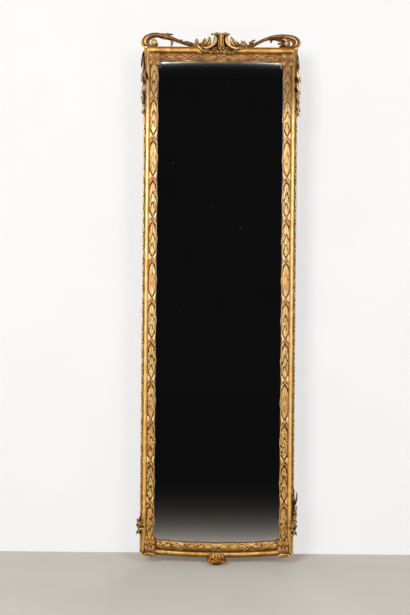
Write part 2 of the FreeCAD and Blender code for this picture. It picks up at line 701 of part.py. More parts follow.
GROOVE_DEPTH = (
    f"{BACK} + (back_thickness - panel_thickness) / 2", f"{BACK} + (back_thickness + panel_thickness) / 2")
BACK_DEPTH = (BACK, FRAME_BACK)
TENON_REACH = "(back_rail_height / 2 - groove_depth)"
TENON_END = f"({BACK_OPENING} + tenon_length)"
PEG_LINE = f"({BACK_OPENING} + tenon_length / 2)"
HANGER_LINE = f"({BACK_SIDE} - back_stile_width / 2)"

left_pegs = [
    rod(f"peg_{index}_{place}", f"-{PEG_LINE}", BACK, f"{rail_middle(index)} {sign} peg_spacing / 2",
        "peg_radius", "back_thickness")
    for index in range(RAIL_COUNT) for place, sign in (("low", "-"), ("high", "+"))]
right_pegs = [mirrored(item.Name + "_right", item) for item in left_pegs]
pegs = left_pegs + right_pegs
subpart("back_pegs", group("peg_group", pegs))

HANGER_HEIGHT = f"({TOP} - hanger_drop)"
STRAP_FOOT = f"({HANGER_HEIGHT} - strap_length)"
strap_screw_places = [
    (f"-{HANGER_LINE}", f"{STRAP_FOOT} + strap_screw_end + strap_screw_pitch * {index}")
    for index in range(STRAP_SCREWS)]
STRAP_BACK = f"({BACK} - strap_thickness)"
left_strap_screws = screws("strap_screw", strap_screw_places, STRAP_BACK, "strap_thickness + screw_bite")
right_strap_screws = [mirrored(item.Name + "_right", item) for item in left_strap_screws]
subpart("hanger_screws", group("hanger_screw_group", left_strap_screws + right_strap_screws))

mortises = [
    box(f"mortise_{index}", (f"-{TENON_END} - tenon_end_gap", f"-{BACK_OPENING}"), GROOVE_DEPTH,
        (f"{rail_middle(index)} - {TENON_REACH}", f"{rail_middle(index)} + {TENON_REACH}"))
    for index in range(RAIL_COUNT)]
stile_groove = box(
    "stile_groove", (f"-{BACK_OPENING} - groove_depth", f"-{BACK_OPENING}"), GROOVE_DEPTH,
    (f"-{BACK_TOP}", BACK_TOP))
back_stile = cut(
    "back_stile",
    box("back_stile_blank", (f"-{BACK_SIDE}", f"-{BACK_OPENING}"), BACK_DEPTH, (f"-{BACK_TOP}", BACK_TOP)),
    [stile_groove] + mortises + left_pegs + frame_screws + left_strap_screws)
subpart("left_back_stile", back_stile)
subpart("right_back_stile", mirrored("back_stile_right", back_stile))

RAIL_NAMES = ["bottom_back_rail", "lower_back_rail", "middle_back_rail", "upper_back_rail", "top_back_rail"]
for index, name in enumerate(RAIL_NAMES):
    middle = rail_middle(index)
    low = f"({middle} - back_rail_height / 2)"
    high = f"({middle} + back_rail_height / 2)"
    width = (f"-{BACK_OPENING}", BACK_OPENING)
    board = box(name + "_board", width, BACK_DEPTH, (low, high))
    tenons = box(name + "_tenons", (f"-{TENON_END}", TENON_END), GROOVE_DEPTH,
                 (f"{middle} - {TENON_REACH}", f"{middle} + {TENON_REACH}"))
    openings = pegs + frame_screws + batten_screws
    if index > 0:
        low_groove = box(name + "_low_groove", width, GROOVE_DEPTH, (low, f"{low} + groove_depth"))
        openings = openings + [low_groove]
    if index < RAIL_COUNT - 1:
        high_groove = box(name + "_high_groove", width, GROOVE_DEPTH, (f"{high} - groove_depth", high))
        openings = openings + [high_groove]
    subpart(name, cut(name + "_cut", fuse(name + "_blank", [board, tenons]), openings))

PANEL_TONGUE = "(groove_depth - panel_end_gap)"
PANEL_SIDE = f"({BACK_OPENING} + {PANEL_TONGUE})"
for index in range(PANEL_COUNT):
    low = f"{rail_middle(index)} + back_rail_height / 2 - {PANEL_TONGUE}"
    high = f"{rail_middle(index + 1)} - back_rail_height / 2 + {PANEL_TONGUE}"
    subpart(f"back_panel_{index + 1}", box(
        f"panel_{index + 1}", (f"-{PANEL_SIDE}", PANEL_SIDE), GROOVE_DEPTH, (low, high)))


# Battens against the wall, and braces behind the crest

BATTEN_NAMES = ["lower_batten", "middle_batten", "upper_batten"]
for index, name in zip(batten_rails, BATTEN_NAMES):
    middle = rail_middle(index)
    blank = box(
        name + "_blank", (f"-{BATTEN_SIDE}", BATTEN_SIDE), ("0", "batten_thickness"),
        (f"{middle} - batten_height / 2", f"{middle} + batten_height / 2"))
    subpart(name, cut(name + "_drilled", blank, batten_screws))

for name, middle in brace_places.items():
    blank = box(
        name + "_blank", (f"{middle} - brace_width / 2", f"{middle} + brace_width / 2"),
        (BRACE_BACK, FRAME_BACK), (BRACE_FOOT, f"{BRACE_FOOT} + brace_height"))
    subpart(name, cut(name + "_drilled", blank, brace_screws))


# Strap hangers, each with a ring that swings in its rolled end

LOOP_BORE = "(ring_wire_radius + ring_clearance)"
LOOP_RADIUS = f"({LOOP_BORE} + strap_thickness)"
LOOP_DEPTH = f"({BACK} - {LOOP_RADIUS})"
STRAP_LEFT = f"(-{HANGER_LINE} - strap_width / 2)"


def crossbar(label, radius):
    """A round bar along the strap's rolled end."""
    item = doc.addObject("Part::Cylinder", label)
    item.Placement = FreeCAD.Placement(FreeCAD.Vector(), FreeCAD.Rotation(FreeCAD.Vector(0, 1, 0), 90))
    bind(item, "Radius", radius)
    bind(item, "Height", "strap_width")
    bind_base(item, STRAP_LEFT, LOOP_DEPTH, HANGER_HEIGHT)
    return item


strap_plate = box(
    "strap_plate", (STRAP_LEFT, f"{STRAP_LEFT} + strap_width"),
    (STRAP_BACK, BACK), (STRAP_FOOT, HANGER_HEIGHT))
strap = cut(
    "strap", fuse("strap_blank", [strap_plate, crossbar("strap_loop", LOOP_RADIUS)]),
    [crossbar("strap_bore", LOOP_BORE)] + left_strap_screws)
subpart("left_hanger_strap", strap)
subpart("right_hanger_strap", mirrored("strap_right", strap))

ring = doc.addObject("Part::Torus", "ring")
towards_viewer(ring)
bind(ring, "Radius1", "ring_radius")
bind(ring, "Radius2", "ring_wire_radius")
bind_base(ring, f"-{HANGER_LINE}", LOOP_DEPTH, f"{HANGER_HEIGHT} - ring_radius")
subpart("left_hanger_ring", ring)
subpart("right_hanger_ring", mirrored("ring_right", ring))


# Check every piece and write its solid

doc.recompute()
for item in doc.Objects:
    if "Invalid" in item.State or "Error" in item.State:
        raise RuntimeError(f"{item.Label} did not build: {item.State}")

os.makedirs("parts", exist_ok=True)
for label, item in nodes.items():
    shape = item.Shape
    if shape.isNull() or not shape.isValid() or not shape.Solids:
        raise RuntimeError(f"{label} has no valid solid")
    shape.exportStep(f"parts/{label}.step")
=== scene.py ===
import math
from functools import partialmethod

import bmesh
import bpy
import numpy as np
from mathutils import Matrix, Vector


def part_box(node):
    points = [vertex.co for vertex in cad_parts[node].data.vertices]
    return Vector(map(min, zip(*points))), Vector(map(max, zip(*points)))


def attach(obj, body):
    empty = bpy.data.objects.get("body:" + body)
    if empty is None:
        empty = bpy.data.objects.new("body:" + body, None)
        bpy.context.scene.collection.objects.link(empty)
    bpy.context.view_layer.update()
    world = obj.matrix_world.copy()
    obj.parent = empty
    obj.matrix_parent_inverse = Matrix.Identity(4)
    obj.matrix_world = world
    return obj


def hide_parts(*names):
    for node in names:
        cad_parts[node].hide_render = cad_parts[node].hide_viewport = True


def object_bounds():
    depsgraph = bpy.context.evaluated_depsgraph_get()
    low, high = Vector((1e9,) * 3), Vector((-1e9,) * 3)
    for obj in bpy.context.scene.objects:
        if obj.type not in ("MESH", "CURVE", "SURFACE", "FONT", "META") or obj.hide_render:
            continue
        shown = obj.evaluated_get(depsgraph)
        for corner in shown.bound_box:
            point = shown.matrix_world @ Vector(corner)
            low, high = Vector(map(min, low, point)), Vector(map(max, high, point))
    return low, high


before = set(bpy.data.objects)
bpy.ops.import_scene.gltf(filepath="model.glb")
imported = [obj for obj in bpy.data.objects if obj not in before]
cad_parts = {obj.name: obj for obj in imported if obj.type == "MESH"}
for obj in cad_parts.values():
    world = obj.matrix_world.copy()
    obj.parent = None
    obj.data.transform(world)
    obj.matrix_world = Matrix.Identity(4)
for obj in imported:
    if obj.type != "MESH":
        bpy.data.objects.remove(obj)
cad_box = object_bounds()

# Carvings are shaped in millimetres as (x, depth, z), with the depth counted from the wall to the viewer.
MM = 0.001
VIEWER = np.array([0.0, 1.0, 0.0])
SIDES = (("left", -1), ("right", 1))


def edges(node):
    """Lowest and highest (x, depth, z) of a CAD node."""
    low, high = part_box(node)
    return np.array([low.x, -high.y, low.z]) / MM, np.array([high.x, -low.y, high.z]) / MM


def new_object(name, data):
    made = bpy.data.objects.new(name, data)
    bpy.context.scene.collection.objects.link(made)
    return made


# Material helpers

def srgb(red, green, blue):
    """A colour written as 0 to 255, as the linear colour that shaders take."""
    shares = [value / 255 for value in (red, green, blue)]
    return tuple(s / 12.92 if s <= 0.04045 else ((s + 0.055) / 1.055) ** 2.4 for s in shares) + (1.0,)


def feed(item, name, value):
    """Sets an input of a shader node to a value, or links it to a Number or a socket."""
    if isinstance(value, Number):
        value = value.socket
    if isinstance(value, bpy.types.NodeSocket):
        item.id_data.links.new(value, item.inputs[name])
    else:
        item.inputs[name].default_value = value


def add(tree, kind, inputs=None, **settings):
    """A new shader node of a kind, with its settings and inputs."""
    item = tree.nodes.new(f"ShaderNode{kind}")
    for name, value in settings.items():
        setattr(item, name, value)
    for name, value in (inputs or {}).items():
        feed(item, name, value)
    return item


def number(tree, kind, inputs=None, output=0, **settings):
    return Number(add(tree, kind, inputs, **settings).outputs[output])


class Number:
    """A number that a shader works out at each point. Sums are written as usual, and | gives the larger."""

    def __init__(self, socket):
        self.socket = socket
        self.tree = socket.id_data

    def apply(self, operation, other=0.0, clamp=False):
        return number(self.tree, "Math", {0: self, 1: other}, operation=operation, use_clamp=clamp)

    __add__ = partialmethod(apply, "ADD")
    __sub__ = partialmethod(apply, "SUBTRACT")
    __mul__ = partialmethod(apply, "MULTIPLY")
    __or__ = partialmethod(apply, "MAXIMUM")

    def joined(self, other):
        """The sum of two shares, held between 0 and 1."""
        return self.apply("ADD", other, clamp=True)

    def rest(self):
        """What a share leaves of 1."""
        return number(self.tree, "Math", {0: 1.0, 1: self}, operation="SUBTRACT", use_clamp=True)

    def spread(self, low, high, to_low=0.0, to_high=1.0):
        """The stretch from low to high brought to another one, and held inside it."""
        inputs = {"Value": self, "From Min": low, "From Max": high, "To Min": to_low, "To Max": to_high}
        return number(self.tree, "MapRange", inputs, interpolation_type="SMOOTHSTEP")

    def between(self, low, high, fade):
        """1 where the number lies between two limits, fading out beyond them."""
        return self.spread(low - fade, low) * self.spread(high + fade, high)


def blend(share, first, second, kind="MIX"):
    """A mix of two colours: the sockets 0, 6, 7 and 2 are the share, the colours and the result."""
    inputs = {0: share, 6: first, 7: second}
    return add(share.tree, "Mix", inputs, data_type="RGBA", blend_type=kind).outputs[2]


def noise(place, scale, detail=4.0, roughness=0.55):
    inputs = {"Vector": place, "Scale": scale, "Detail": detail, "Roughness": roughness}
    return number(place.id_data, "TexNoise", inputs)


def axes(place):
    return [Number(part) for part in add(place.id_data, "SeparateXYZ", {0: place}).outputs]


def split(place):
    """Distance from the middle, depth and height of a place."""
    x, y, z = axes(place)
    return x.apply("ABSOLUTE"), y * -1.0, z


def new_material(name):
    """An empty material, its shader and the place of each point in metres."""
    material = bpy.data.materials.new(name)
    material.use_nodes = True
    tree = material.node_tree
    return material, tree.nodes["Principled BSDF"], add(tree, "TexCoord").outputs["Object"]


def rays(tree, *kinds):
    """For each kind of ray, 1 where light of that kind is followed and 0 elsewhere."""
    path = add(tree, "LightPath").outputs
    return [Number(path[f"Is {kind} Ray"]) for kind in kinds]


def bumped(shader, height, distance, strength):
    inputs = {"Height": height, "Distance": distance, "Strength": strength}
    feed(shader, "Normal", add(shader.id_data, "Bump", inputs).outputs[0])


# How hollow, proud and red a point of a carving is. The hollow share also carries painted shade: umber laid
# on leaves, grounds and gaps that lie in shadow.
SHARES = ("hollow", "proud", "ruddy")
UMBER = srgb(68, 31, 0)
BOLE = srgb(182, 96, 64)
WHITE_GROUND = srgb(252, 230, 190)
# Painted shade towards the floor: what it leaves of each colour, and its share at the floor
DOWNWARD_SHADE = (1.0, 0.90, 0.56, 1.0)
DOWNWARD_SHADE_SHARE = 0.55


def gilt(name, light, deep, red, grime_and_shade, gloss, reach=0.012, shade_mask=None, chalk=None):
    """Old water gilding: gold leaf of uneven tone, rubbed to its red bole and white ground on what stands
    out. Umber lies in the hollows, partly as dirt and partly as painted shade, and an occlusion node adds
    painted shade in closed-in places. A painted shade darkens it all towards the floor. A further mask gives
    a share of umber as painted shade, and chalk a further share of white ground."""
    material, shader, place = new_material(f"{name}_gilt")
    tree = shader.id_data
    patches = noise(place, 26.0, 5.0)
    grains = noise(place, 420.0, 3.0)
    rubbing = noise(place, 75.0, 6.0, 0.65)
    hollow, proud, ruddy = (number(tree, "Attribute", output="Fac", attribute_name=share) for share in SHARES)
    # Umber where the occlusion node finds the surface closed in: painted shade.
    occlusion = number(tree, "AmbientOcclusion", {"Distance": reach}, "AO", samples=6)
    low_down = axes(place)[2].spread(0.1, -1.25)

    # Dirt and painted shade: umber in the hollows, in closed-in places, in random patches and in splashes
    # near the floor.
    dirt_and_shade = hollow * rubbing.spread(0.36, 0.58, 0.6, 1.0) + occlusion.spread(0.75, 0.2)
    splashes = low_down * rubbing.spread(0.42, 0.62, 0.0, 0.35)
    dirt_and_shade = dirt_and_shade + rubbing.spread(0.54, 0.78, 0.0, 0.4) + splashes
    dirt_and_shade = dirt_and_shade.apply("MULTIPLY", grime_and_shade, clamp=True)
    if shade_mask:
        dirt_and_shade = dirt_and_shade | shade_mask(place)
    worn = (rubbing + proud * 0.12).spread(0.78 - 0.2 * red, 0.9 - 0.2 * red, 0.0, 0.8)
    bole = worn.joined(ruddy * rubbing.spread(0.3, 0.5))
    ground = proud * rubbing.spread(0.30, 0.58, 0.0, 0.85)
    if chalk:
        ground = ground | chalk(place)
    bare = dirt_and_shade | (bole | ground)

    colour = blend(patches.spread(0.35, 0.68), srgb(*deep), srgb(*light))
    colour = blend(bole, colour, BOLE)
    # Painted shade that deepens towards the floor, laid before and after the white ground.
    falloff_shade = low_down * DOWNWARD_SHADE_SHARE
    colour = blend(falloff_shade, colour, DOWNWARD_SHADE, "MULTIPLY")
    colour = blend(ground, colour, WHITE_GROUND)
    colour = blend(falloff_shade, colour, DOWNWARD_SHADE, "MULTIPLY")
    feed(shader, "Base Color", blend(dirt_and_shade, colour, UMBER))
    feed(shader, "Metallic", bare.rest() * 0.55)
    feed(shader, "Specular IOR Level", dirt_and_shade.spread(0.0, 1.0, 0.45, 0.08))
    feed(shader, "Roughness", grains.spread(0.3, 0.7, gloss, gloss + 0.16) + bare * 0.25)
    bumped(shader, grains + rubbing * 2.0, 0.0006, 0.35)
    return material


# Heights and distances in these masks of painted shade and white ground are metres in the shared frame.

def sight_faces(depth):
    """The edges between the laurel's bed and the glass."""
    return depth.spread(0.0575, 0.0565)


def ends_and_right_shade(place):
    """Painted shade: umber that lies thicker at both ends of the stiles, and thin over the whole of the right
    one.
    """
    x, _, z = axes(place)
    ends = z.spread(0.84, 1.02, 0.0, 0.60) | z.spread(-0.95, -1.10, 0.0, 0.32)
    return ends + x.spread(0.0, 0.1, 0.0, 0.16)


def stile_shade(place):
    """Painted shade: umber in the groove beside the bead strip, broken up unevenly, over the whole ledge at
    the corners, on the faces towards the glass and at the foot."""
    x, depth, z = split(place)
    corner = z.apply("ABSOLUTE").spread(1.10, 1.15, 0.0, 0.9)
    groove = x.between(0.3560, 0.3645, 0.0015) | x.spread(0.3590, 0.3610) * corner
    uneven = noise(place, 30.0, 3.0).spread(0.3, 0.6, 0.4, 0.85)
    sight = sight_faces(depth) * x.spread(0.330, 0.325) | x.spread(0.3085, 0.3065)
    foot = z.spread(-0.98, -1.06, 0.0, 0.55)
    return groove * uneven | sight * 0.95 | foot | ends_and_right_shade(place)


def upper_shade(place):
    """Painted shade: a film of umber on the upper blocks and the top laurel."""
    return axes(place)[2].spread(0.9, 1.1, 0.0, 0.46)


def top_groove_shade(place):
    """Painted shade: umber on the top ledge and in the groove between the roll and the laurel."""
    x, _, z = split(place)
    lines = z.spread(1.2105, 1.2125) + z.between(1.184, 1.191, 0.002)
    return lines * x.spread(0.362, 0.350) * 0.8


def top_chalk(place):
    """Bare white ground on the edge above the glass."""
    _, depth, z = split(place)
    return sight_faces(depth) * z.spread(1.165, 1.155, 0.0, 0.12)


BOW_RISE = 0.019 / 0.370**2


def above_bow(place):
    """Height of a place, counted so that the bowed bottom rail lies level."""
    x, _, z = split(place)
    return z - x * x * BOW_RISE


def sill_underside_shade(place):
    """Painted shade: umber on the underside of the bottom laurel."""
    return above_bow(place).spread(-1.181, -1.200, 0.0, 0.75)


def bottom_groove_shade(place):
    """Painted shade: umber on the bottom ledge, in the groove between the roll and the laurel, and below the
    glass.
    """
    x, depth, _ = split(place)
    level = above_bow(place)
    lines = level.spread(-1.2255, -1.2295) + level.between(-1.2135, -1.203, 0.002)
    sight = sight_faces(depth) * level.spread(-1.19, -1.17, 0.0, 0.95)
    return lines * x.spread(0.362, 0.350, 0.0, 0.85) | sight


def wood(name, light, dark, along):
    """Planed old softwood or oak with its grain along one axis."""
    material, shader, place = new_material(name)
    stretch = [60.0, 60.0, 60.0]
    stretch["xyz".index(along)] = 3.0
    grain_place = add(shader.id_data, "Mapping", {"Vector": place, "Scale": stretch}).outputs[0]
    grain = noise(grain_place, 1.0, 6.0, 0.6)
    pores = noise(grain_place, 7.0, 2.0).spread(0.6, 0.75, 0.0, 0.5)
    stains = noise(place, 5.0, 4.0).spread(0.5, 0.75, 0.0, 0.45)
    colour = blend(grain.spread(0.35, 0.65), srgb(*light), srgb(*dark))
    colour = blend(pores, colour, srgb(46, 30, 18))
    feed(shader, "Base Color", blend(stains, colour, srgb(64, 46, 32)))
    feed(shader, "Roughness", grain.spread(0.3, 0.7, 0.62, 0.82))
    bumped(shader, grain, 0.0008, 0.4)
    return material


def old_steel(name):
    material, shader, place = new_material(name)
    scratches = noise(place, 900.0, 2.0)
    rust = noise(place, 160.0, 5.0).spread(0.55, 0.72)
    feed(shader, "Base Color", blend(rust, srgb(142, 139, 134), srgb(104, 66, 42)))
    feed(shader, "Metallic", rust.spread(0.0, 1.0, 0.95, 0.3))
    feed(shader, "Roughness", scratches.spread(0.3, 0.7, 0.34, 0.55))
    bumped(shader, scratches, 0.0002, 0.4)
    return material


# Silver is lost above an arch: its height in the middle and its drop per square metre from there
LOSS_LEVEL, LOSS_DROP = 1.151, 0.11


def old_mirror(name):
    """Silvered plate with a little foxing, and silver lost in an arch along its top."""
    material, shader, place = new_material(name)
    tree = shader.id_data
    spots = add(tree, "TexVoronoi", {"Vector": place, "Scale": 48.0, "Randomness": 1.0}).outputs
    choice = number(tree, "TexWhiteNoise", {"Vector": spots["Position"]})
    speck = Number(spots["Distance"]).spread(0.10, 0.04) * choice.spread(0.90, 0.96)
    foxing = (speck * 0.55).joined(noise(place, 6.0, 5.0).spread(0.55, 0.8, 0.0, 0.12))
    x, _, z = split(place)
    above = z + x * x * LOSS_DROP - LOSS_LEVEL
    lost = (above * 200.0).apply("EXPONENT") * 0.17
    veil = (above * 80.0).apply("EXPONENT") * 0.03
    lost = lost.apply("MINIMUM", 0.4) + veil.apply("MINIMUM", 0.1)
    colour = blend(foxing, srgb(240, 241, 242), srgb(120, 112, 100))
    feed(shader, "Base Color", blend(lost, colour, srgb(176, 172, 162)))
    feed(shader, "Metallic", lost.rest())
    feed(shader, "Roughness", (speck * 0.25).joined(lost))
    return material


# TOP_GILT and RAIL_GILT are darker copies of the stiles' gilding for the top rail: painted shade.
STILE_GILT = gilt("stile", (252, 222, 164), (250, 196, 106), 0.1, 0.2, 0.38, 0.004, shade_mask=stile_shade)
TOP_GILT = gilt("top", (246, 194, 106), (196, 136, 58), 0.3, 0.9, 0.36, shade_mask=top_groove_shade, chalk=top_chalk)
BOTTOM_GILT = gilt("bottom", (240, 206, 142), (196, 150, 92), 0.3, 0.9, 0.36, shade_mask=bottom_groove_shade)
LAUREL_GILT = gilt("laurel", (255, 221, 144), (232, 166, 78), 0.3, 1.6, 0.36, 0.0025, shade_mask=ends_and_right_shade)
RAIL_GILT = gilt("rail", (204, 138, 50), (134, 80, 22), 0.5, 1.2, 0.36, shade_mask=upper_shade)
SILL_GILT = gilt("sill", (240, 196, 108), (172, 122, 44), 0.4, 1.2, 0.34, shade_mask=sill_underside_shade)
BLOCK_GILT = gilt("block", (224, 164, 80), (152, 98, 38), 0.4, 1.2, 0.36, shade_mask=upper_shade)
CREST_GILT = gilt("crest", (242, 202, 116), (170, 117, 48), 0.35, 1.3, 0.30, 0.024)
STEM_GILT = gilt("stem", (222, 176, 104), (130, 90, 46), 0.35, 1.3, 0.34, 0.020)
DROP_GILT = gilt("drop", (255, 232, 188), (190, 142, 90), 0.35, 1.5, 0.36, 0.022)
# The left bead is a lit copy and the right bead a shaded copy of one gilding: painted light and shade.
BEAD_GILT = {"left": gilt("lit_left_bead", (230, 186, 132), (172, 120, 70), 0.4, 1.0, 0.38),
             "right": gilt("shaded_right_bead", (200, 146, 76), (136, 86, 34), 0.4, 1.0, 0.38)}
UPRIGHT_PINE = wood("upright_pine", (176, 134, 86), (126, 88, 52), "z")
LEVEL_PINE = wood("level_pine", (172, 130, 84), (122, 86, 52), "x")
PANEL_PINE = wood("panel_pine", (158, 118, 76), (110, 76, 46), "z")
OAK = wood("oak", (150, 108, 66), (96, 64, 36), "x")
STEEL = old_steel("old_steel")
MIRROR = old_mirror("old_mirror")


# Skins of carvings: rings of points joined into closed tubes

def smooth_values(values, count):
    """A smooth run of values or points through a few evenly numbered ones."""
    values = np.asarray(values, float)
    ends = np.concatenate([[2 * values[0] - values[1]], values, [2 * values[-1] - values[-2]]])
    place = np.linspace(0, len(values) - 1, count)
    index = np.minimum(place.astype(int), len(values) - 2)
    t = (place - index).reshape((-1,) + (1,) * (values.ndim - 1))
    a, b, c, d = (ends[index + step] for step in range(4))
    return 0.5 * (2 * b + (c - a) * t + (2 * a - 5 * b + 4 * c - d) * t**2 + (3 * b - a - 3 * c + d) * t**3)


def smooth_line(rows, count):
    """Evenly spaced rows along the smooth line through control rows that start with x, depth and z."""
    dense = smooth_values(rows, 30 * len(rows))
    lengths = np.linalg.norm(np.diff(dense[:, :3], axis=0), axis=1)
    reach = np.concatenate([[0], np.cumsum(lengths)])
    even = np.linspace(0, reach[-1], count)
    return np.stack([np.interp(even, reach, column) for column in dense.T], axis=1)


def unit(vectors):
    return vectors / np.linalg.norm(vectors, axis=-1, keepdims=True)


def held(values):
    """Values held between 0 and 1."""
    return np.clip(values, 0, 1)


# Width shares along a leaf, for a pointed leaf and for a round petal
LEAF_RUN = (0.0, 0.18, 0.42, 0.70, 0.90, 1.0)
POINTED = (0.35, 0.80, 1.00, 0.80, 0.42, 0.09)
ROUNDED = (0.30, 0.65, 0.92, 1.00, 0.80, 0.30)


class Carving:
    """Closed skins that make up one piece, with the shares of each point."""

    def __init__(self):
        self.points, self.faces = [], []
        self.shares = {name: [] for name in SHARES}
        self.count = 0

    def tube(self, rings, hollow=0.0, proud=0.0, ruddy=0.0):
        """Joins rings of points, (rings, points, 3), and closes both ends."""
        rows, columns, _ = rings.shape
        index = self.count + np.arange(rows * columns).reshape(rows, columns)
        after = np.roll(index, -1, axis=1)
        quads = np.stack([index[:-1], after[:-1], after[1:], index[1:]], axis=-1).reshape(-1, 4)
        self.faces += quads.tolist()
        self.faces += [index[0, ::-1].tolist(), index[-1].tolist()]
        self.points.append(rings.reshape(-1, 3))
        for name, share in zip(SHARES, (hollow, proud, ruddy)):
            self.shares[name].append(np.broadcast_to(share, (rows, columns)).ravel())
        self.count += rows * columns

    def sweep(self, rows, profile, count=36, lobes=0, painted_shade=(0.0, 0.0)):
        """Draws a profile along control rows of (x, depth, z, width, height). Lobes notch its edges, and the
        last argument is how much painted shade, as umber, it carries from start to end."""
        line = smooth_line(rows, count)
        middle, width, height = line[:, :3], line[:, 3], line[:, 4]
        if lobes:
            share = np.linspace(0, 1, count)
            width = width * (1 - 0.28 * np.abs(np.cos(np.pi * lobes * share)) ** 3)
        along = unit(np.gradient(middle, axis=0))
        side = unit(np.cross(along, VIEWER))
        out = np.cross(side, along)
        across, rise, hollow = profile.T
        rings = (middle[:, None]
                 + side[:, None] * (across * width[:, None] / 2)[..., None]
                 + out[:, None] * (rise * height[:, None])[..., None])
        shaded = np.interp(np.linspace(0, 1, count), np.linspace(0, 1, len(painted_shade)), painted_shade)
        shaded = held(shaded)[:, None]
        self.tube(rings, np.maximum(hollow, shaded), held(rise - 0.8) * 2 * (1 - shaded))

    def leaf(self, base, tip, width, height, bend=0.0, lobes=0, curl=0.0, painted_shade=0.0, shape=POINTED):
        """A leaf. Bend bows it sideways, and curl lifts its middle towards the viewer. Its painted shade, as
        umber, is given after curl, and its base always lies deep in painted shade.
        """
        base, tip = np.array(base, float), np.array(tip, float)
        reach = tip - base
        aside = unit(np.cross(reach, VIEWER)) * bend
        rows = []
        for share, wide in zip(LEAF_RUN, shape):
            arch = 4 * share * (1 - share)
            spot = base + reach * share + aside * arch + VIEWER * curl * arch
            rows.append((*spot, width * wide, height * (0.55 + 0.45 * wide)))
        self.sweep(rows, LEAF_PROFILE, 30, lobes, (min(1, painted_shade + 0.8), painted_shade + 0.25, painted_shade, painted_shade, painted_shade))

    def stack(self, levels, power=2.0, count=28, painted_shade=0.0):
        """Level slices with half widths along x and depth: rows of (z, x, depth, half x, half depth)."""
        angle = np.linspace(0, 2 * np.pi, count, endpoint=False)
        corner = [np.sign(f(angle)) * np.abs(f(angle)) ** (2 / power) for f in (np.cos, np.sin)]
        rings = [np.stack([x + wide * corner[0], depth + deep * corner[1], np.full(count, z)], axis=1)
                 for z, x, depth, wide, deep in levels]
        self.tube(np.array(rings), painted_shade)

    def berry(self, centre, radius, flat=0.8, painted_shade=0.0):
        x, depth, z = centre
        turns = np.linspace(-0.47, 0.47, 9) * np.pi
        self.stack([(z + radius * math.sin(t), x, depth, radius * math.cos(t), radius * flat * math.cos(t))
                    for t in turns], count=14, painted_shade=painted_shade)

    def piece(self, material, *nodes, name=None):
        """The finished piece, which rides on the frame and stands for these nodes."""
        name = name or f"{nodes[0]}_carving"
        mesh = bpy.data.meshes.new(name)
        points = np.concatenate(self.points) * MM * np.array([1, -1, 1])
        mesh.from_pydata(points.tolist(), [], self.faces)
        for attribute, values in self.shares.items():
            layer = mesh.attributes.new(attribute, "FLOAT", "POINT")
            layer.data.foreach_set("value", np.concatenate(values).astype(np.float32))
        turn_outwards(mesh)
        mesh.shade_smooth()
        mesh.set_sharp_from_angle(angle=math.radians(50))
        mesh.materials.append(material)
        made = new_object(name, mesh)
        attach(made, "frame")
        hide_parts(*nodes)


def turn_outwards(mesh):
    """Turns every face of closed skins outwards."""
    work = bmesh.new()
    work.from_mesh(mesh)
    bmesh.ops.recalc_face_normals(work, faces=work.faces)
    work.to_mesh(mesh)
    work.free()


def closed_profile(shape, front):
    """A profile as rows of (across, rise, hollow): the front follows a shape, the back is flat."""
    turn = np.linspace(0, np.pi, front)
    rise, hollow = shape(turn)
    under = np.linspace(-0.5, 0.5, 3)
    face = np.stack([np.cos(turn), rise, hollow], axis=1)
    return np.concatenate([face, np.stack([under, 0 * under, 0 * under + 0.6], axis=1)])


def fluted(ridges, depth):
    """A rounded front with a number of ridges and grooves of a relative depth between them."""
    def shape(turn):
        wave = 0.5 - 0.5 * np.cos(2 * ridges * turn)
        return 0.12 + 0.88 * np.sin(turn) ** 0.7 * (1 - depth + depth * wave), (1 - wave) ** 2 * np.sin(turn)
    return closed_profile(shape, 12 * ridges + 1)


def reeded(ridges, depth):
    """A flat front with evenly wide reeds."""
    def shape(turn):
        across = np.cos(turn)
        wave = np.abs(np.sin(np.pi * ridges * (across + 1) / 2)) ** 0.7
        return 0.1 + 0.9 * (1 - across**8) * (1 - depth + depth * wave), (1 - wave) ** 2 * (1 - across**8)
    return closed_profile(shape, 16 * ridges + 1)


def veined(turn):
    """A leaf's front: two swelling halves and a sunk vein."""
    vein = np.exp(-((np.cos(turn) / 0.16) ** 2))
    return 0.10 + 0.90 * np.sin(turn) ** 0.8 * (1 - 0.45 * vein), 0.9 * vein


def rolled(turn):
    """A round front with dirt along both edges."""
    return 0.10 + 0.90 * np.sin(turn) ** 0.8, held((np.abs(np.cos(turn)) - 0.62) / 0.2)


LEAF_PROFILE = closed_profile(veined, 21)
STEM_PROFILE = fluted(1, 0.0)
ROLLED_PROFILE = closed_profile(rolled, 25)
BAND_PROFILE = fluted(3, 0.42)
SHELL_PROFILE = fluted(3, 0.22)
REED_PROFILE = reeded(5, 0.35)


# Carved height fields

def placed(x, depth, z):
    """Points from coordinates that may be given once for many."""
    return np.stack(np.broadcast_arrays(x, depth, z), axis=-1)


def softened(field, reach):
    """The field smoothed over a reach of so many points each way."""
    weight = np.hanning(2 * reach + 3)[1:-1]
    weight = weight / weight.sum()
    for axis in (0, 1):
        padded = np.pad(field, [(reach, reach) if a == axis else (0, 0) for a in (0, 1)], mode="edge")
        field = np.apply_along_axis(np.convolve, axis, padded, weight, mode="valid")
    return field


def relief(carving, put, along, across, height, hollow=0.0, proud=0.0, ruddy=0.0, reach=3):
    """A carved strip: put(along, across, height) gives the points of its front, and its back is flat."""
    around = softened(height, reach)
    low = np.maximum(hollow, held((around - height) / 1.1))
    high = np.maximum(proud, held((height - around) / 0.9)) * (1 - low)
    front = put(along[:, None], across[None, :], height)
    back = put(along[:, None], across[None, [-1, 0]], np.full((len(along), 2), -0.4))
    shares = [np.pad(np.broadcast_to(share, height.shape), ((0, 0), (0, 2))) for share in (low, high, ruddy)]
    carving.tube(np.concatenate([front, back], axis=1), *shares)


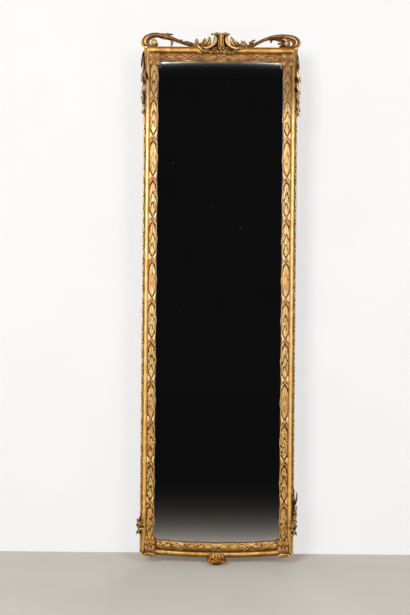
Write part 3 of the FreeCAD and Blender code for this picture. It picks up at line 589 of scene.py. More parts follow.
def leaf_form(along, across, tip, base, side, drift, half_width):
    """Where each point lies on a pointed leaf of a field: its run from base to tip, its offset from the
    midrib, which is 1 at the leaf's edge, and how far across it lies beyond that edge."""
    run = held((along - base) / (tip - base))
    half = half_width * run**0.35 * (1 - run) ** 0.85 / 0.484 + 1e-6
    aside = np.abs(across - side - drift * run)
    return run, aside / half, aside - half


def leaf_bulge(along, across, tip, base, side, drift, half_width, lift):
    """Height of a pointed leaf that lies along a field, and 0 outside it."""
    run, offset, _ = leaf_form(along, across, tip, base, side, drift, half_width)
    crown = np.sqrt(held(1 - offset**2))
    return lift * (0.3 + 0.7 * run) * crown**0.6 * (1 - 0.25 * np.exp(-((offset / 0.15) ** 2)))


# Leaves of one bundle from its top tier down, as shares of its length and of the torus's half width:
# tip, base, side at the base, drift to the side at the tip, half width, lift, depth of the line round its tip
BUNDLE_LEAVES = [
    (1.00, 0.40, 0.00, 0.00, 0.85, 0.70, 0.0),
    (0.84, 0.40, 0.50, 0.22, 0.30, 0.75, 0.5), (0.79, 0.36, -0.50, -0.22, 0.30, 0.75, 0.5),
    (0.68, 0.12, 0.06, 0.02, 0.56, 0.95, 0.9),
    (0.53, 0.06, 0.54, 0.20, 0.32, 0.85, 0.6), (0.48, 0.04, -0.54, -0.20, 0.32, 0.85, 0.6),
    (0.37, -0.05, -0.04, -0.02, 0.46, 1.10, 0.9),
]
# A bundle narrows to both ends over a share of its length, and its ends are rounded by a power.
BUNDLE_HALF_WIDTH = 0.96
BUNDLE_TAPER = 0.24
BUNDLE_ROUNDING = 0.55
HALF_TORUS = 19.0
LINE_WIDTH = 4.0
TORUS_RISE = 9.0
LEAF_LIFT = 5.0
OUTLINE_DEPTH = 3.0
OUTLINE_SHARE = 0.72
OUTLINE_WIDTH = 0.17
RIBBON_HALF_WIDTH = 4.6
RIBBON_REACH = 25.0
RIBBON_SLANT = 0.57
RIBBON_LIFT = 3.4
SEAM_OFFSET, SEAM_WIDTH = 6.3, 1.4
RUDDY_LENGTH, RUDDY_WIDTH = 13, 0.6


def laurel_field(along, across, pitch, bundle, tip, lift, clarity):
    """Height, hollow, proud and ruddy shares of a laurel torus: leaf bundles of a pitch and length, with
    tips at tip + pitch times a whole number, and two ribbons crossing between them. Clarity is how deep
    the bundles are outlined."""
    wide = np.abs(across)
    torus = TORUS_RISE * np.sqrt(held(1 - wide**3))
    gap = pitch - bundle
    order = np.ceil((along - tip - gap / 2) / pitch)
    start = tip + order * pitch - bundle
    share = held((along - start) / bundle)
    taper = np.minimum(1, np.minimum(share, 1 - share) / BUNDLE_TAPER)
    edge = BUNDLE_HALF_WIDTH * taper**BUNDLE_ROUNDING
    inside = held((edge - wide) / 0.10)
    outline = OUTLINE_SHARE * clarity * np.exp(-(((wide - edge) / OUTLINE_WIDTH) ** 2)) * (edge > 0.03)

    rises = np.zeros(np.broadcast(along, across).shape)
    hollow, proud = rises.copy(), rises.copy()
    wander = 5.0 * np.sin(2.7 * order + 0.6)
    depth = 0.75 + 0.25 * np.sin(1.9 * order)
    for leaf_tip, leaf_base, *form, rank, line in BUNDLE_LEAVES:
        ends = (start + leaf_tip * bundle + wander * leaf_tip, start + leaf_base * bundle)
        run, offset, beyond = leaf_form(along, across, *ends, *form)
        body = (offset < 1) & (run > 0) & (run < 1)
        outside = np.hypot(np.clip(beyond, 0, None) * HALF_TORUS, np.clip(along - ends[0], 0, None))
        rim = depth * line * np.exp(-((outside / LINE_WIDTH) ** 4)) * ~body * held((run - 0.5) / 0.2)
        rises = np.maximum(rises, leaf_bulge(along, across, *ends, *form, lift * rank))
        hollow = np.where(body, 0.8 * np.exp(-((offset / 0.18) ** 2)) * run, np.maximum(hollow, rim))
        proud = np.where(body, np.clip(0.9 - offset, 0, 0.7) * held(3 * run), proud)

    below, above = along - start + gap / 2, along - start - bundle - gap / 2
    offset = np.where(np.abs(below) < np.abs(above), below, above)
    binding, seam = np.zeros_like(rises), np.zeros_like(rises)
    for lean, over in ((1, 0.0), (-1, 0.8)):
        distance = np.abs(offset - lean * across * RIBBON_REACH) * RIBBON_SLANT
        band = held(1.3 - (distance / RIBBON_HALF_WIDTH) ** 4)
        border = np.exp(-(((distance - SEAM_OFFSET) / SEAM_WIDTH) ** 2))
        seam = np.maximum(seam * (1 - band), border)
        binding = np.maximum(binding, (RIBBON_LIFT + over) * band)
    tips = leaf_bulge(along, wide, start + 0.12 * bundle, start - 0.16 * bundle, 0.70, 0.0, 0.30, RIBBON_LIFT)
    binding = np.maximum(binding, tips)

    swell = 0.45 + 0.55 * torus / TORUS_RISE
    height = torus + swell * (inside * (rises - hollow) + (1 - inside) * binding - OUTLINE_DEPTH * outline)
    hollow = np.maximum(outline, np.where(inside > 0.5, hollow, (0.15 + 0.45 * seam) * (tips < 0.5)))
    proud = np.where(inside > 0.5, proud, 2.4 * tips / RIBBON_LIFT) * (1 - outline)
    ruddy = np.exp(-((offset / RUDDY_LENGTH) ** 2) - (across / RUDDY_WIDTH) ** 2)
    return height, hollow, proud, ruddy


LAUREL_STEP = 1.6
LAUREL_COLUMNS = 41
# Pitch of the bundles, length of one, and a place where a tip lies
STILE_PATTERN = (195.0, 161.0, 957.0)
RAIL_PATTERN = (160.0, 130.0, 145.0)
EDGE_SWELL = 0.14
# How far the leaves lie over the cove beside the roll, except at the top
COVE_LAP = 4.8


def steps(low, high, size):
    return np.linspace(low, high, int((high - low) / size) + 1)


def laurel(node, material, put, along, pattern, lift, clarity, glass_side, mirrored=False):
    """A length of laurel torus over the named node, with white ground along its edge towards the glass as a
    painted highlight; the glass lies at glass_side times 1 across. A mirrored one points outwards from its
    middle."""
    carving = Carving()
    across = np.sin(np.linspace(-np.pi / 2, np.pi / 2, LAUREL_COLUMNS))
    run = np.abs(along) if mirrored else along
    height, hollow, proud, ruddy = laurel_field(run[:, None], across[None, :], *pattern, lift, clarity)
    height, hollow = softened(height, 1), held(1.3 * softened(hollow, 1))
    # A painted highlight: white ground along the edge towards the glass, where no umber is left.
    edge_highlight = held((across * glass_side - 0.84) / 0.06)[None, :]
    proud = np.maximum(proud, 1.2 * edge_highlight) * clarity
    relief(carving, put, along, across, height, hollow * (1 - edge_highlight), proud, ruddy)
    carving.piece(material, node)


def leafy_edge(along, pitch, bundle, tip):
    """Half width share of a torus, which swells with each bundle and narrows at the ribbons."""
    turn = (along - tip - (pitch - bundle) / 2) / pitch * 2 * np.pi
    return 1 - EDGE_SWELL * (0.2 + 0.8 * np.cos(turn) + 0.3 * np.cos(3 * turn))


for side, sign in SIDES:
    low, high = edges(f"{side}_laurel")
    middle = (low[0] + high[0] + sign * COVE_LAP) / 2
    half = (high[0] - low[0] + COVE_LAP) / 2

    def on_stile(along, across, height, middle=middle, half=half, sign=sign, bed=low[1]):
        swell = np.where(across * sign < 0, leafy_edge(along, *STILE_PATTERN), 1.0)
        return placed(middle + across * half * swell, bed + height, along)

    laurel(f"{side}_laurel", LAUREL_GILT, on_stile, steps(low[2], high[2], LAUREL_STEP), STILE_PATTERN,
           LEAF_LIFT, 1.0, -sign)

low, high = edges("top_laurel")
top_middle, top_half, top_bed = (low[2] + high[2]) / 2, (high[2] - low[2]) / 2, low[1]


def on_top_rail(along, across, height):
    swell = np.where(across > 0, leafy_edge(np.abs(along), *RAIL_PATTERN), 1.0)
    return placed(along, top_bed + height, top_middle - across * top_half * swell)


laurel("top_laurel", RAIL_GILT, on_top_rail, steps(low[0], high[0], LAUREL_STEP), RAIL_PATTERN,
       0.8 * LEAF_LIFT, 0.45, 1, mirrored=True)

# The bottom rail bows downwards: its edge is an arc through the frame's corners and its lowest middle.
low, _ = edges("left_stile_moulding")
half_frame, frame_foot = -low[0], low[2]
bow_bottom = edges("bottom_rail_moulding")[0][2]
bow = frame_foot - bow_bottom
bow_radius = (half_frame**2 + bow**2) / (2 * bow)
bow_axis = bow_bottom + bow_radius
low, high = edges("bottom_laurel")
bottom_reach, bottom_bed = high[0], low[1]
bottom_radius = bow_axis - low[2] - top_half


def on_bottom_rail(along, across, height):
    turn = along / bow_radius
    swell = np.where(across < 0, leafy_edge(np.abs(along), *RAIL_PATTERN), 1 + COVE_LAP / top_half)
    radius = bottom_radius + across * top_half * swell
    return placed(radius * np.sin(turn), bottom_bed + height, bow_axis - radius * np.cos(turn))


laurel("bottom_laurel", SILL_GILT, on_bottom_rail, steps(-bottom_reach, bottom_reach, LAUREL_STEP),
       RAIL_PATTERN, LEAF_LIFT, 0.65, -1, mirrored=True)


# Bead-and-reel strips

BEAD_PITCH, BEAD_GAP, SMALL_BEAD = 64.4, 3.5, 9.0
BEAD_WIDTH_SHARE = 0.80


def bead_swell(along):
    """Radius share of the strip: long olives with a small round bead between each two."""
    spot = along % BEAD_PITCH
    olive = BEAD_PITCH - SMALL_BEAD - 2 * BEAD_GAP
    long_part = held(1 - np.abs((spot - olive / 2) / (olive / 2)) ** 3.2) ** 0.5
    beyond = spot - olive - BEAD_GAP - SMALL_BEAD / 2
    small_part = held(1 - (beyond / (SMALL_BEAD / 2)) ** 2) ** 0.5
    return 0.25 + 0.75 * np.maximum(long_part, small_part * 0.95)


for side, sign in SIDES:
    node = f"{side}_bead_strip"
    low, high = edges(node)
    outer = low[0] if sign < 0 else high[0]
    half = (high[0] - low[0]) / 2 * BEAD_WIDTH_SHARE
    along = steps(low[2], high[2], 1.5)
    across = np.sin(np.linspace(-np.pi / 2, np.pi / 2, 11))
    swell = bead_swell(along)[:, None]
    rise = (high[1] - low[1]) * swell * np.sqrt(1 - across**2)[None, :]

    def on_ledge(along, across, height, outer=outer, half=half, sign=sign, bed=low[1]):
        narrow = 0.5 + 0.5 * bead_swell(along)
        return placed(outer - sign * half * (1 - across * narrow), bed + height, along)

    carving = Carving()
    relief(carving, on_ledge, along, across, rise, held((0.85 - swell) / 0.3) + 0 * across)
    carving.piece(BEAD_GILT[side], node)


# Corner blocks and their rosettes

BLOCK_POINTS = 65


def block_field(u, v, rise, foliage):
    """Height, hollow and proud shares of a block's face: a raised border, a cut line and, in the sunk field,
    leaves in the corners or a row of upright leaf tips."""
    inset = 1 - np.maximum(np.abs(u), np.abs(v))
    cut = 0.7 * np.exp(-(((inset - 0.13) / 0.04) ** 2))
    height = rise - 2.2 * held((inset - 0.08) / 0.05) - 1.2 * cut
    height = height - 1.4 * held(1 - inset / 0.04)
    hollow = np.maximum(cut, 0.35 + 0.2 * held((inset - 0.14) / 0.05))
    leaves = np.zeros_like(height)
    if foliage:
        for middle in (-0.52, 0.0, 0.52):
            leaves = np.maximum(leaves, leaf_bulge(v, u, 0.10, -0.80, middle, middle * 0.2, 0.27, 3.4))
    corners = [(a, b) for a in (-1, 1) for b in ((1,) if foliage else (-1, 1))]
    for turn_u, turn_v in corners:
        along, across = (turn_u * u + turn_v * v) / 2, (turn_u * u - turn_v * v) / 2
        leaves = np.maximum(leaves, leaf_bulge(along, across, 0.36, 0.82, 0.0, 0.0, 0.20, 3.0))
    hollow = np.where(leaves > 0.6, 0.0, hollow)
    return height + leaves, hollow, 1.4 * held(leaves / 3.4 - 0.35)


rosettes = Carving()
for level, lift, reach in (("top", 0.0, 18.0), ("bottom", 12.0, 15.5)):
    for side in ("left", "right"):
        node = f"{level}_{side}_corner_block"
        low, high = edges(node)
        centre, half = (low + high) / 2, (high[0] - low[0]) / 2
        share = np.linspace(-1, 1, BLOCK_POINTS)

        def on_block(along, across, height, centre=centre, half=half, bed=low[1]):
            return placed(centre[0] + across * half, bed + height, centre[2] + along * half)

        carving = Carving()
        relief(carving, on_block, share, share,
               *block_field(share[None, :], share[:, None], high[1] - low[1], level == "bottom"), reach=5)
        carving.piece(BLOCK_GILT, node)

        heart = np.array([centre[0], high[1] - 3.0, centre[2] + lift])
        for petals, length, wide, height, start in ((6, 1.0, 0.80, 4.5, 0.5), (5, 0.58, 0.55, 6.0, 0.2)):
            for index in range(petals):
                turn = start + 2 * math.pi * index / petals
                aim = np.array([math.cos(turn), 0.0, math.sin(turn)])
                rosettes.leaf(heart + aim * 2.5, heart + aim * reach * length, wide * reach, height,
                              curl=1.5, shape=ROUNDED)
        # The heart gets painted shade, and a flat disc in full painted shade lies behind the petals as the
        # dark round recess.
        rosettes.berry(heart + VIEWER * 4.6, 0.22 * reach, painted_shade=0.5 if level == "bottom" else 0.2)
        rosettes.berry(heart - VIEWER * 0.5, 1.06 * reach, 0.08, painted_shade=1.0)
rosettes.piece(BLOCK_GILT, "corner_rosettes", name="corner_rosette_carvings")


# Crest scrolls: a fluted band that rolls into a volute, with leaves at its sheath.
# Rows of the bands: distance from the middle, depth, height, width, rise

SCROLLS = {"left": [
    (126, 46, 1224, 18, 10), (158, 46, 1234, 17, 12), (200, 45, 1247, 16, 13), (236, 44, 1261, 20, 14),
    (263, 43, 1268.5, 23, 15), (294, 42, 1276.5, 23, 17), (320, 41, 1277.5, 25, 18),
    (345, 41, 1270.5, 31, 19), (362, 41, 1257, 38, 20), (366, 41, 1241, 42, 20), (358, 41, 1229, 28, 19),
    (342, 41, 1225, 18, 18), (326, 41, 1224.5, 14, 18), (312, 41, 1228, 11, 18), (305, 42, 1238, 8, 16),
], "right": [
    (124, 46, 1224, 19, 10), (156, 46, 1233, 18, 12), (178, 46, 1244, 15, 12), (209, 45, 1259, 16, 13),
    (251, 43, 1272, 19, 15), (281, 42, 1276, 21, 17), (311, 41, 1275.5, 24, 18), (340, 41, 1269, 31, 19),
    (359, 41, 1257, 38, 20), (365, 41, 1242, 41, 20), (356, 41, 1229, 28, 19), (339, 41, 1225, 18, 18),
    (322, 41, 1224.5, 14, 18), (308, 41, 1228, 11, 18), (301, 42, 1238, 8, 16),
]}
SCROLL_EYES = {"left": 322, "right": 319}
# Painted shade along each band, darkest where it starts near the middle.
BAND_SHADE = (0.45, 0.45, 0.4, 0.25, 0.1, 0.0, 0.0, 0.0, 0.0, 0.1)
# Leaves: base, tip, width, height, bend, painted shade
SCROLL_LEAVES = {"left": [
    ((290, 52, 1277), (229, 54, 1278), 15, 9, -2, 0.2), ((247, 48, 1262), (242, 52, 1222), 16, 8, -8, 0.5),
    ((300, 50, 1267), (248, 50, 1255), 16, 8, -2, 0.75), ((216, 50, 1250), (186, 53, 1254), 13, 8, 2, 0.5),
    ((190, 49, 1242), (156, 53, 1247), 14, 9, 2, 0.4), ((166, 47, 1236), (134, 52, 1236), 16, 9, -2, 0.5),
], "right": [
    ((242, 46, 1270), (241, 50, 1243), 18, 9, 0, 0.75), ((298, 47, 1263), (236, 50, 1262), 15, 8, 2, 0.8),
    ((312, 46, 1250), (271, 52, 1253), 17, 10, -2, 0.7), ((310, 46, 1241), (270, 52, 1240), 16, 10, 1, 0.6),
    ((312, 46, 1232), (279, 52, 1226), 16, 10, 3, 0.8), ((138, 47, 1238), (166, 53, 1257), 15, 9, 2, 0.5),
    ((158, 47, 1238), (133, 52, 1247), 14, 9, 2, 0.4),
]}


def flipped(rows, sign):
    """Rows that start with a place, moved to the left side for a sign of -1."""
    return [(sign * x, *others) for x, *others in rows]


def add_leaves(carving, leaves, sign, lobes=3, curl=2.0):
    for base, tip, width, height, bend, painted_shade in leaves:
        carving.leaf(*flipped((base, tip), sign), width, height, bend * sign, lobes, curl, painted_shade)


for side, sign in SIDES:
    carving = Carving()
    carving.sweep(flipped(SCROLLS[side], sign), BAND_PROFILE, 140, painted_shade=BAND_SHADE)
    carving.berry((sign * SCROLL_EYES[side], 52, 1242), 15.5, 0.65, painted_shade=0.2)
    add_leaves(carving, SCROLL_LEAVES[side], sign)
    carving.piece(STEM_GILT, f"{side}_crest_scroll")


# Middle of the crest: a dark ground of painted shade, a fluted stem with two curls for a head, lobes and
# leaves

palmette = Carving()
# A flat sheet in full painted shade behind the stem.
palmette.sweep([(0, 41, 1221, 168, 7), (0, 41, 1232, 120, 7), (0, 41, 1246, 60, 7), (0, 41, 1268, 52, 7),
                (0, 41, 1284, 50, 6)], STEM_PROFILE, 30, painted_shade=(1.0, 1.0))
palmette.sweep([(0, 62, 1206, 40, 18), (0, 54, 1217, 35, 22), (0, 48, 1230, 31, 25), (0, 46, 1250, 29, 25),
                (0, 46, 1266, 26, 25), (0, 46, 1278, 25, 24), (0, 46, 1287.5, 27, 18)], SHELL_PROFILE, 44,
               painted_shade=(0.4, 0.3, 0.2, 0.1, 0.0, 0.0))
CURL = [(9, 60, 1282, 8, 9), (15, 60, 1285.5, 10, 10), (23, 60, 1284.5, 11, 11), (29, 60, 1278.5, 11, 11),
        (28, 60, 1270.5, 8, 10), (22, 60, 1269, 6, 9)]
# Curls, stalks and knobs darken with painted shade towards their ends.
for sign, knob in ((-1, 43.5), (1, 37)):
    palmette.sweep(flipped(CURL, sign), STEM_PROFILE, 44, painted_shade=(0.0, 0.3, 0.5, 0.6, 0.6))
    stalk = [(27, 54, 1282, 6, 7), (34, 54, 1285, 4, 6), (knob - 2, 54, 1284, 5, 6)]
    palmette.sweep(flipped(stalk, sign), STEM_PROFILE, 20, painted_shade=(0.7, 0.8))
    palmette.berry((sign * knob, 56, 1282), 5.0, painted_shade=0.9)
palmette.piece(CREST_GILT, "crest_palmette")

LOBES = {"left": [
    (27, 47, 1278, 11, 18), (27, 47, 1265, 19, 24), (26, 49, 1250, 22, 26), (33, 53, 1234, 22, 26),
    (47, 58, 1219.5, 20, 25), (62, 62, 1212, 17, 22), (75, 66, 1210, 13, 19), (83, 66, 1216, 9, 14),
], "right": [
    (25, 47, 1276, 11, 18), (25, 47, 1262, 18, 24), (27, 49, 1245, 20, 26), (36, 53, 1229, 20, 26),
    (52, 58, 1214.5, 18, 24), (69, 63, 1209, 15, 21), (81, 66, 1210, 11, 17), (88, 66, 1216, 8, 13),
]}
# Lobe and sprig leaves in the same columns as the scroll leaves, the last being painted shade.
LOBE_LEAVES = {"left": [
    ((80, 47, 1219), (56, 66, 1268), 30, 17, 7, 0.0), ((95, 46, 1218), (78, 60, 1261), 26, 15, 4, 0.1),
    ((104, 43, 1218), (98, 52, 1241), 15, 10, 2, 0.8),
], "right": [
    ((84, 47, 1219), (48, 66, 1268), 31, 17, 7, 0.0), ((94, 46, 1218), (80, 56, 1246), 18, 12, 4, 0.8),
    ((104, 43, 1218), (96, 52, 1238), 15, 10, 2, 0.8),
]}
SPRIG_LEAVES = {"left": [
    ((116, 43, 1218), (119, 60, 1259), 25, 13, 1, 0.1), ((112, 43, 1218), (105, 52, 1238), 15, 11, -3, 0.3),
    ((122, 43, 1218), (131, 50, 1236), 16, 10, 3, 0.3),
], "right": [
    ((103, 43, 1218), (98, 58, 1253), 21, 13, -2, 0.0), ((108, 43, 1218), (114, 58, 1251), 21, 13, 2, 0.0),
    ((113, 43, 1218), (126, 50, 1240), 15, 9, 4, 0.3),
]}
for side, sign in SIDES:
    carving = Carving()
    carving.sweep(flipped(LOBES[side], sign), ROLLED_PROFILE, 70)
    carving.piece(CREST_GILT, f"{side}_crest_lobe")
    for part, leaves in (("leaf", LOBE_LEAVES), ("sprig", SPRIG_LEAVES)):
        carving = Carving()
        add_leaves(carving, leaves[side], sign, lobes=0, curl=4.0)
        carving.piece(CREST_GILT, f"{side}_crest_{part}")

# Leaves and berries over the roll
# Same columns as the scroll leaves, the last being painted shade.
SPRAY_LEAVES = [
    ((10, 73, 1206), (52, 74, 1198), 18, 9, 4, 0.4), ((4, 73, 1206), (30, 74, 1182), 18, 9, 3, 0.5),
    ((48, 73, 1206), (88, 74, 1192), 17, 9, 3, 0.4), ((66, 73, 1212), (116, 74, 1206), 15, 8, 3, 0.4),
    ((24, 73, 1212), (62, 75, 1208), 14, 9, -3, 0.8)]
SPRAY_STALK = [(-114, 70, 1222, 9, 10), (-102, 72, 1210, 9, 10), (-90, 72, 1199, 8, 9), (-72, 72, 1190, 6, 8)]
SPRAY_BERRIES = [
    (-107, 77, 1190), (-97, 77, 1186), (-5, 80, 1208), (9, 80, 1207), (-16, 79, 1190), (14, 79, 1189),
    (42, 77, 1186), (57, 77, 1186), (84, 77, 1196), (-48, 78, 1188), (98, 77, 1193)]
spray = Carving()
for sign in (-1, 1):
    add_leaves(spray, SPRAY_LEAVES, sign, curl=1.0)
spray.sweep(SPRAY_STALK, STEM_PROFILE, 24)
for place in SPRAY_BERRIES:
    spray.berry(place, 5.6)
spray.piece(STEM_GILT, "crest_spray")


# Leaf drops on the outer ledges. Leaves as distances from the frame's edge outwards and heights:
# base, tip, width, bend, how far the tip stands off the ledge, painted shade

# Leaves in full painted shade stand off the ledge over the roll, as the dark gaps between drop and roll.
UPPER_LEFT_LEAVES = [
    ((1, 1196), (12, 1112), 15, 1, 3, 0.6), ((-2, 1118), (13, 1046), 19, -1, 3, 0.3),
    ((-4, 1104), (-20, 1052), 14, -2, 15, 1.0), ((-6, 1108), (-7, 1050), 12, 0, 10, 0.0),
    ((-2, 1046), (12, 988), 17, -1, 3, 0.0), ((-5, 1040), (-6, 1000), 11, 0, 8, 0.0),
    ((-4, 946), (12, 984), 10, -5, 3, 0.2), ((-4, 986), (6, 940), 13, 3, 3, 0.5),
    ((-2, 944), (10, 892), 17, -1, 3, 0.0)]
UPPER_RIGHT_LEAVES = [
    ((-2, 1186), (8, 1112), 11, -1, 3, 0.4), ((-2, 1118), (15, 1046), 20, -2, 3, 0.0),
    ((-6, 1086), (-13, 1050), 13, -2, 14, 1.0), ((-2, 1058), (14, 990), 19, -2, 3, 0.0),
    ((-6, 1036), (-13, 1002), 13, -2, 14, 1.0), ((-2, 1010), (9, 948), 17, -1, 3, 0.0),
    ((-2, 964), (13, 908), 18, -1, 3, 0.2), ((-4, 924), (10, 888), 15, -2, 3, 0.1)]
CLUSTER_LEAVES = [
    ((0, -1112), (13, -1050), 20, 2, 5, 0.2), ((-4, -1108), (-17, -1052), 17, -3, 15, 0.2),
    ((3, -1104), (17, -1078), 16, 3, 5, 0.3), ((-6, -1094), (-3, -1052), 15, 0, 12, 0.3),
    ((-10, -1096), (-23, -1084), 13, 0, 15, 0.7), ((2, -1106), (14, -1128), 13, 2, 4, 0.4)]
CHAIN_LEAVES = [
    ((-4, -1062), (13, -1016), 18, -2, 3, 0.2), ((-4, -1030), (14, -984), 17, -2, 3, 0.2),
    ((-3, -996), (14, -916), 11, -6, 3, 0.6), ((-5, -976), (2, -908), 13, 1, 3, 0.3)]
# The curl at the foot of a lower drop: distance outwards, height, width
CURL_ROWS = [(-16, -1096, 9), (-5, -1100, 10), (3, -1110, 10), (0, -1121, 9), (-9, -1125, 8), (-15, -1118, 7)]
for node, sign, leaves, curled in (
        ("upper_left_drop", -1, UPPER_LEFT_LEAVES, False),
        ("upper_right_drop", 1, UPPER_RIGHT_LEAVES, False),
        ("lower_left_drop", -1, CLUSTER_LEAVES, True),
        ("lower_right_drop", 1, CLUSTER_LEAVES + CHAIN_LEAVES, True)):
    low, high = edges(node)
    ledge = low[1]
    carving = Carving()
    # The stem under the leaves is in deep painted shade, so that the gaps between leaves read dark.
    stem = [(sign * (half_frame - 1), ledge - 0.4, z, wide, 7)
            for z, wide in zip(np.linspace(low[2], high[2], 4), (6, 14, 14, 6))]
    carving.sweep(stem, STEM_PROFILE, 40, painted_shade=(0.9, 0.9))
    for base, tip, width, bend, stand, painted_shade in leaves:
        places = [(sign * (half_frame + out), ledge + lift, z)
                  for (out, z), lift in ((base, 1), (tip, stand))]
        carving.leaf(*places, width, 9, bend * sign, 3, 2.0, painted_shade)
    if curled:
        carving.sweep([(sign * (half_frame + out), ledge + 8, z, wide, 9) for out, z, wide in CURL_ROWS],
                      STEM_PROFILE, 50, painted_shade=(0.1, 0.3))
        # A berry in full painted shade inside the curl.
        carving.berry((sign * (half_frame - 7), ledge + 6, -1112), 6, painted_shade=1.0)
    carving.piece(DROP_GILT, node)


# Leaf sprays under the bottom corners

# Same columns as the scroll leaves, the last being painted shade.
BOTTOM_LEAVES = [
    ((356, 69.5, -1220), (285, 69.5, -1227), 20, 12, -3, 0.0),
    ((336, 69.5, -1227), (296, 69.5, -1233), 13, 10, -2, 0.1),
    ((340, 69.5, -1215), (300, 69.5, -1215), 12, 10, 2, 0.4)]
for side, sign in SIDES:
    carving = Carving()
    add_leaves(carving, BOTTOM_LEAVES, sign, lobes=4, curl=1.0)
    carving.berry((sign * 346, 75, -1224), 8.5, 0.7)
    # A plinth in painted shade under the leaves.
    plinth = ((-1230, 26, 5.5), (-1226, 32, 6), (-1216, 28, 5))
    carving.stack([(z, sign * 322, 66, wide, deep) for z, wide, deep in plinth], painted_shade=0.6)
    carving.piece(DROP_GILT, f"{side}_bottom_leaf")


# Pendant under the middle of the bottom rail: a reeded neck, a moulded plate and a drop

pendant = Carving()
# Heights, widths and rises of the neck; heights and half widths of the plate and the drop
NECK = ((-1240, 76, 16), (-1233, 78, 17), (-1224, 74, 16), (-1216, 68, 12))
PLATE = ((-1256, 43, 18), (-1254, 47, 20.5), (-1250, 48.5, 21), (-1246, 46, 19.5), (-1244, 42, 18),
         (-1241, 44, 19), (-1239, 42, 18))
DROP = ((-1271, 12, 8), (-1268, 18, 11), (-1263, 24, 13.5), (-1258, 26, 14), (-1255.5, 24, 12))
# Painted shade: a little on the neck, more on the plate and most on the drop.
pendant.sweep([(0, 72, *row) for row in NECK], REED_PROFILE, 24, painted_shade=(0.3, 0.15))
for rows, power, count, painted_shade in ((PLATE, 4.0, 48, 0.5), (DROP, 2.4, 36, 0.75)):
    pendant.stack([(z, 0, 70, wide, deep) for z, wide, deep in rows], power, count, painted_shade)
pendant.piece(BLOCK_GILT, "bottom_pendant")


# Finishes of the CAD nodes that show as they are

FINISHES = {
    STILE_GILT: ["left_stile_moulding", "right_stile_moulding"],
    TOP_GILT: ["top_rail_moulding"],
    BOTTOM_GILT: ["bottom_rail_moulding"],
    MIRROR: ["mirror_plate"],
    UPRIGHT_PINE: ["left_back_stile", "right_back_stile", "crest_brace", "left_scroll_brace",
                   "right_scroll_brace"],
    LEVEL_PINE: ["bottom_back_rail", "lower_back_rail", "middle_back_rail", "upper_back_rail",
                 "top_back_rail", "glass_blocks"],
    PANEL_PINE: [f"back_panel_{panel}" for panel in range(1, 5)],
    OAK: ["lower_batten", "middle_batten", "upper_batten", "back_pegs"],
    STEEL: ["frame_screws", "batten_screws", "brace_screws", "hanger_screws", "left_hanger_strap",
            "right_hanger_strap", "left_hanger_ring", "right_hanger_ring"],
}
for material, names in FINISHES.items():
    for name in names:
        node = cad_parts[name]
        node.data.materials.clear()
        node.data.materials.append(material)


# Stage: pale floor, white wall a little way behind that shows only from the front, soft lamps

FLOOR = cad_box[0].z - 0.0005
WALL = 0.15
HALF_STAGE = 9
WALL_TOP = 6
# How fast the mirrored floor grows dark per metre, its start, and the glow that stays
FADE, FADE_START, FAR_GLOW = 3.7, 3.4, 0.0045
WALL_GLOW = 0.6
SOFT_LIGHT = 0.42


def stage_sheet(name, near, far, material):
    """A sheet over the width of the stage, between two edges given by their y and z."""
    corners = [(-HALF_STAGE, *near), (HALF_STAGE, *near), (HALF_STAGE, *far), (-HALF_STAGE, *far)]
    mesh = bpy.data.meshes.new(name)
    mesh.from_pydata(corners, [], [(0, 1, 2, 3)])
    mesh.materials.append(material)
    sheet = new_object(name, mesh)


def floor_material():
    """Pale and even. What a mirror shows of it grows dark away from the wall, as in a dim room."""
    material, shader, place = new_material("pale_floor")
    near_wall = (axes(place)[1] * FADE).apply("EXPONENT") * FADE_START
    dim = rays(shader.id_data, "Glossy")[0] * near_wall.rest()
    mottle = noise(place, 3.0, 5.0).spread(0.3, 0.7)
    pale = blend(mottle, srgb(180, 175, 168), srgb(183, 178, 171))
    feed(shader, "Base Color", blend(dim, pale, (0, 0, 0, 1)))
    feed(shader, "Emission Color", (1, 1, 1, 1))
    feed(shader, "Emission Strength", dim * FAR_GLOW)
    feed(shader, "Roughness", 0.8)
    feed(shader, "Specular IOR Level", 0.0)
    return material


def wall_material():
    """White from the front, and not there from behind or for shadows."""
    material, shader, place = new_material("white_wall")
    tree = shader.id_data
    mottle = noise(place, 2.0, 4.0).spread(0.3, 0.7)
    feed(shader, "Base Color", blend(mottle, srgb(208, 208, 209), srgb(213, 213, 214)))
    feed(shader, "Roughness", 0.9)
    feed(shader, "Specular IOR Level", 0.0)
    camera_ray, shadow_ray = rays(tree, "Camera", "Shadow")
    glow = add(tree, "Emission", {"Color": srgb(253, 253, 253), "Strength": 1.0})
    seen = camera_ray * WALL_GLOW
    front = add(tree, "MixShader", {0: seen, 1: shader.outputs[0], 2: glow.outputs[0]})
    absent = number(tree, "NewGeometry", output="Backfacing") | shadow_ray
    clear = add(tree, "BsdfTransparent")
    mixed = add(tree, "MixShader", {0: absent, 1: front.outputs[0], 2: clear.outputs[0]})
    feed(tree.nodes["Material Output"], "Surface", mixed.outputs[0])
    return material


stage_sheet("floor", (-HALF_STAGE, FLOOR), (HALF_STAGE, FLOOR), floor_material())
stage_sheet("wall", (WALL, FLOOR), (WALL, WALL_TOP), wall_material())


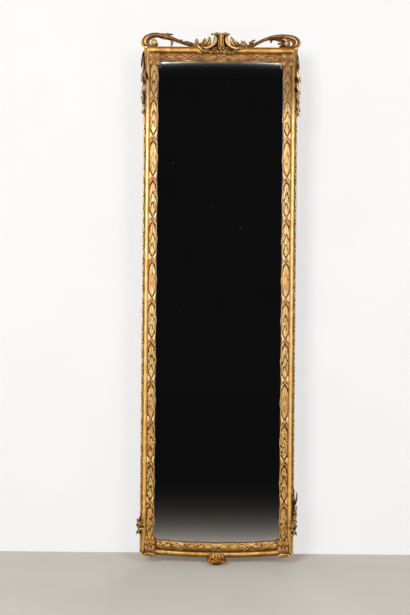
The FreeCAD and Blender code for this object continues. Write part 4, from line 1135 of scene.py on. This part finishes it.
def lamp(name, place, aim, width, height, power, colour):
    """A soft box that faces its aim."""
    data = bpy.data.lights.new(name, "AREA")
    data.shape = "RECTANGLE"
    data.size, data.size_y = width, height
    data.energy = power
    data.color = colour
    box = new_object(name, data)
    box.location = place
    forward = unit(np.subtract(aim, place))
    right = unit(np.cross(forward, [0, 0, 1]))
    up = np.cross(right, forward)
    box.rotation_euler = Matrix(np.stack([right, up, -forward], axis=1).tolist()).to_euler()


lamp("left_softbox", (-2.3, -5.6, 2.3), (0, 0, -0.9), 1.8, 2.2, 312, (1.0, 0.98, 0.95))
lamp("right_softbox", (2.6, -5.6, 2.3), (0, 0, -0.9), 1.8, 2.2, 156, (1.0, 0.98, 0.96))
lamp("back_softbox", (0.9, 3.4, 0.9), (0, 0, 0), 2.0, 2.6, 70, (1.0, 0.98, 0.96))
lamp("top_softbox", (0.0, -2.4, 3.4), (0, 0, 0.2), 2.6, 1.4, 6, (1.0, 0.99, 0.97))


def light_world():
    """White to the camera; even soft light; what mirrors show of the room in front is dim."""
    world = bpy.data.worlds.new("studio")
    bpy.context.scene.world = world
    world.use_nodes = True
    tree = world.node_tree
    camera_ray, clear_ray, diffuse_ray, glossy_ray = rays(
        tree, "Camera", "Transmission", "Diffuse", "Glossy")
    direction = add(tree, "TexCoord").outputs["Generated"]
    room = axes(direction)[1].spread(-0.25, 0.1, 0.005, 0.9)
    background = tree.nodes["Background"]
    feed(background, "Color", (1, 1, 1, 1))
    strength = diffuse_ray * SOFT_LIGHT + glossy_ray * room + (camera_ray | clear_ray)
    feed(background, "Strength", strength)


light_world()


# Camera, square to the mirror, a little to the left of its middle and turned by half a degree

PHOTO_HEIGHT = 615
SENSOR = 36.0
DISTANCE = 4.5
METRES_PER_PIXEL = 0.004815
CAMERA_PLACE = (-0.0657, -DISTANCE - 0.06, -0.035)
CAMERA_TURN = math.radians(0.53)
camera_data = bpy.data.cameras.new("camera")
camera_data.sensor_width = SENSOR
camera_data.lens = DISTANCE / METRES_PER_PIXEL / PHOTO_HEIGHT * SENSOR
camera = bpy.data.objects.new("camera", camera_data)
bpy.context.scene.collection.objects.link(camera)
camera.location = CAMERA_PLACE
roll = Matrix.Rotation(CAMERA_TURN, 4, "Z")
camera.rotation_euler = (Matrix.Rotation(math.pi / 2, 4, "X") @ roll).to_euler()
bpy.context.scene.camera = camera
bpy.context.scene.view_settings.view_transform = "Standard"
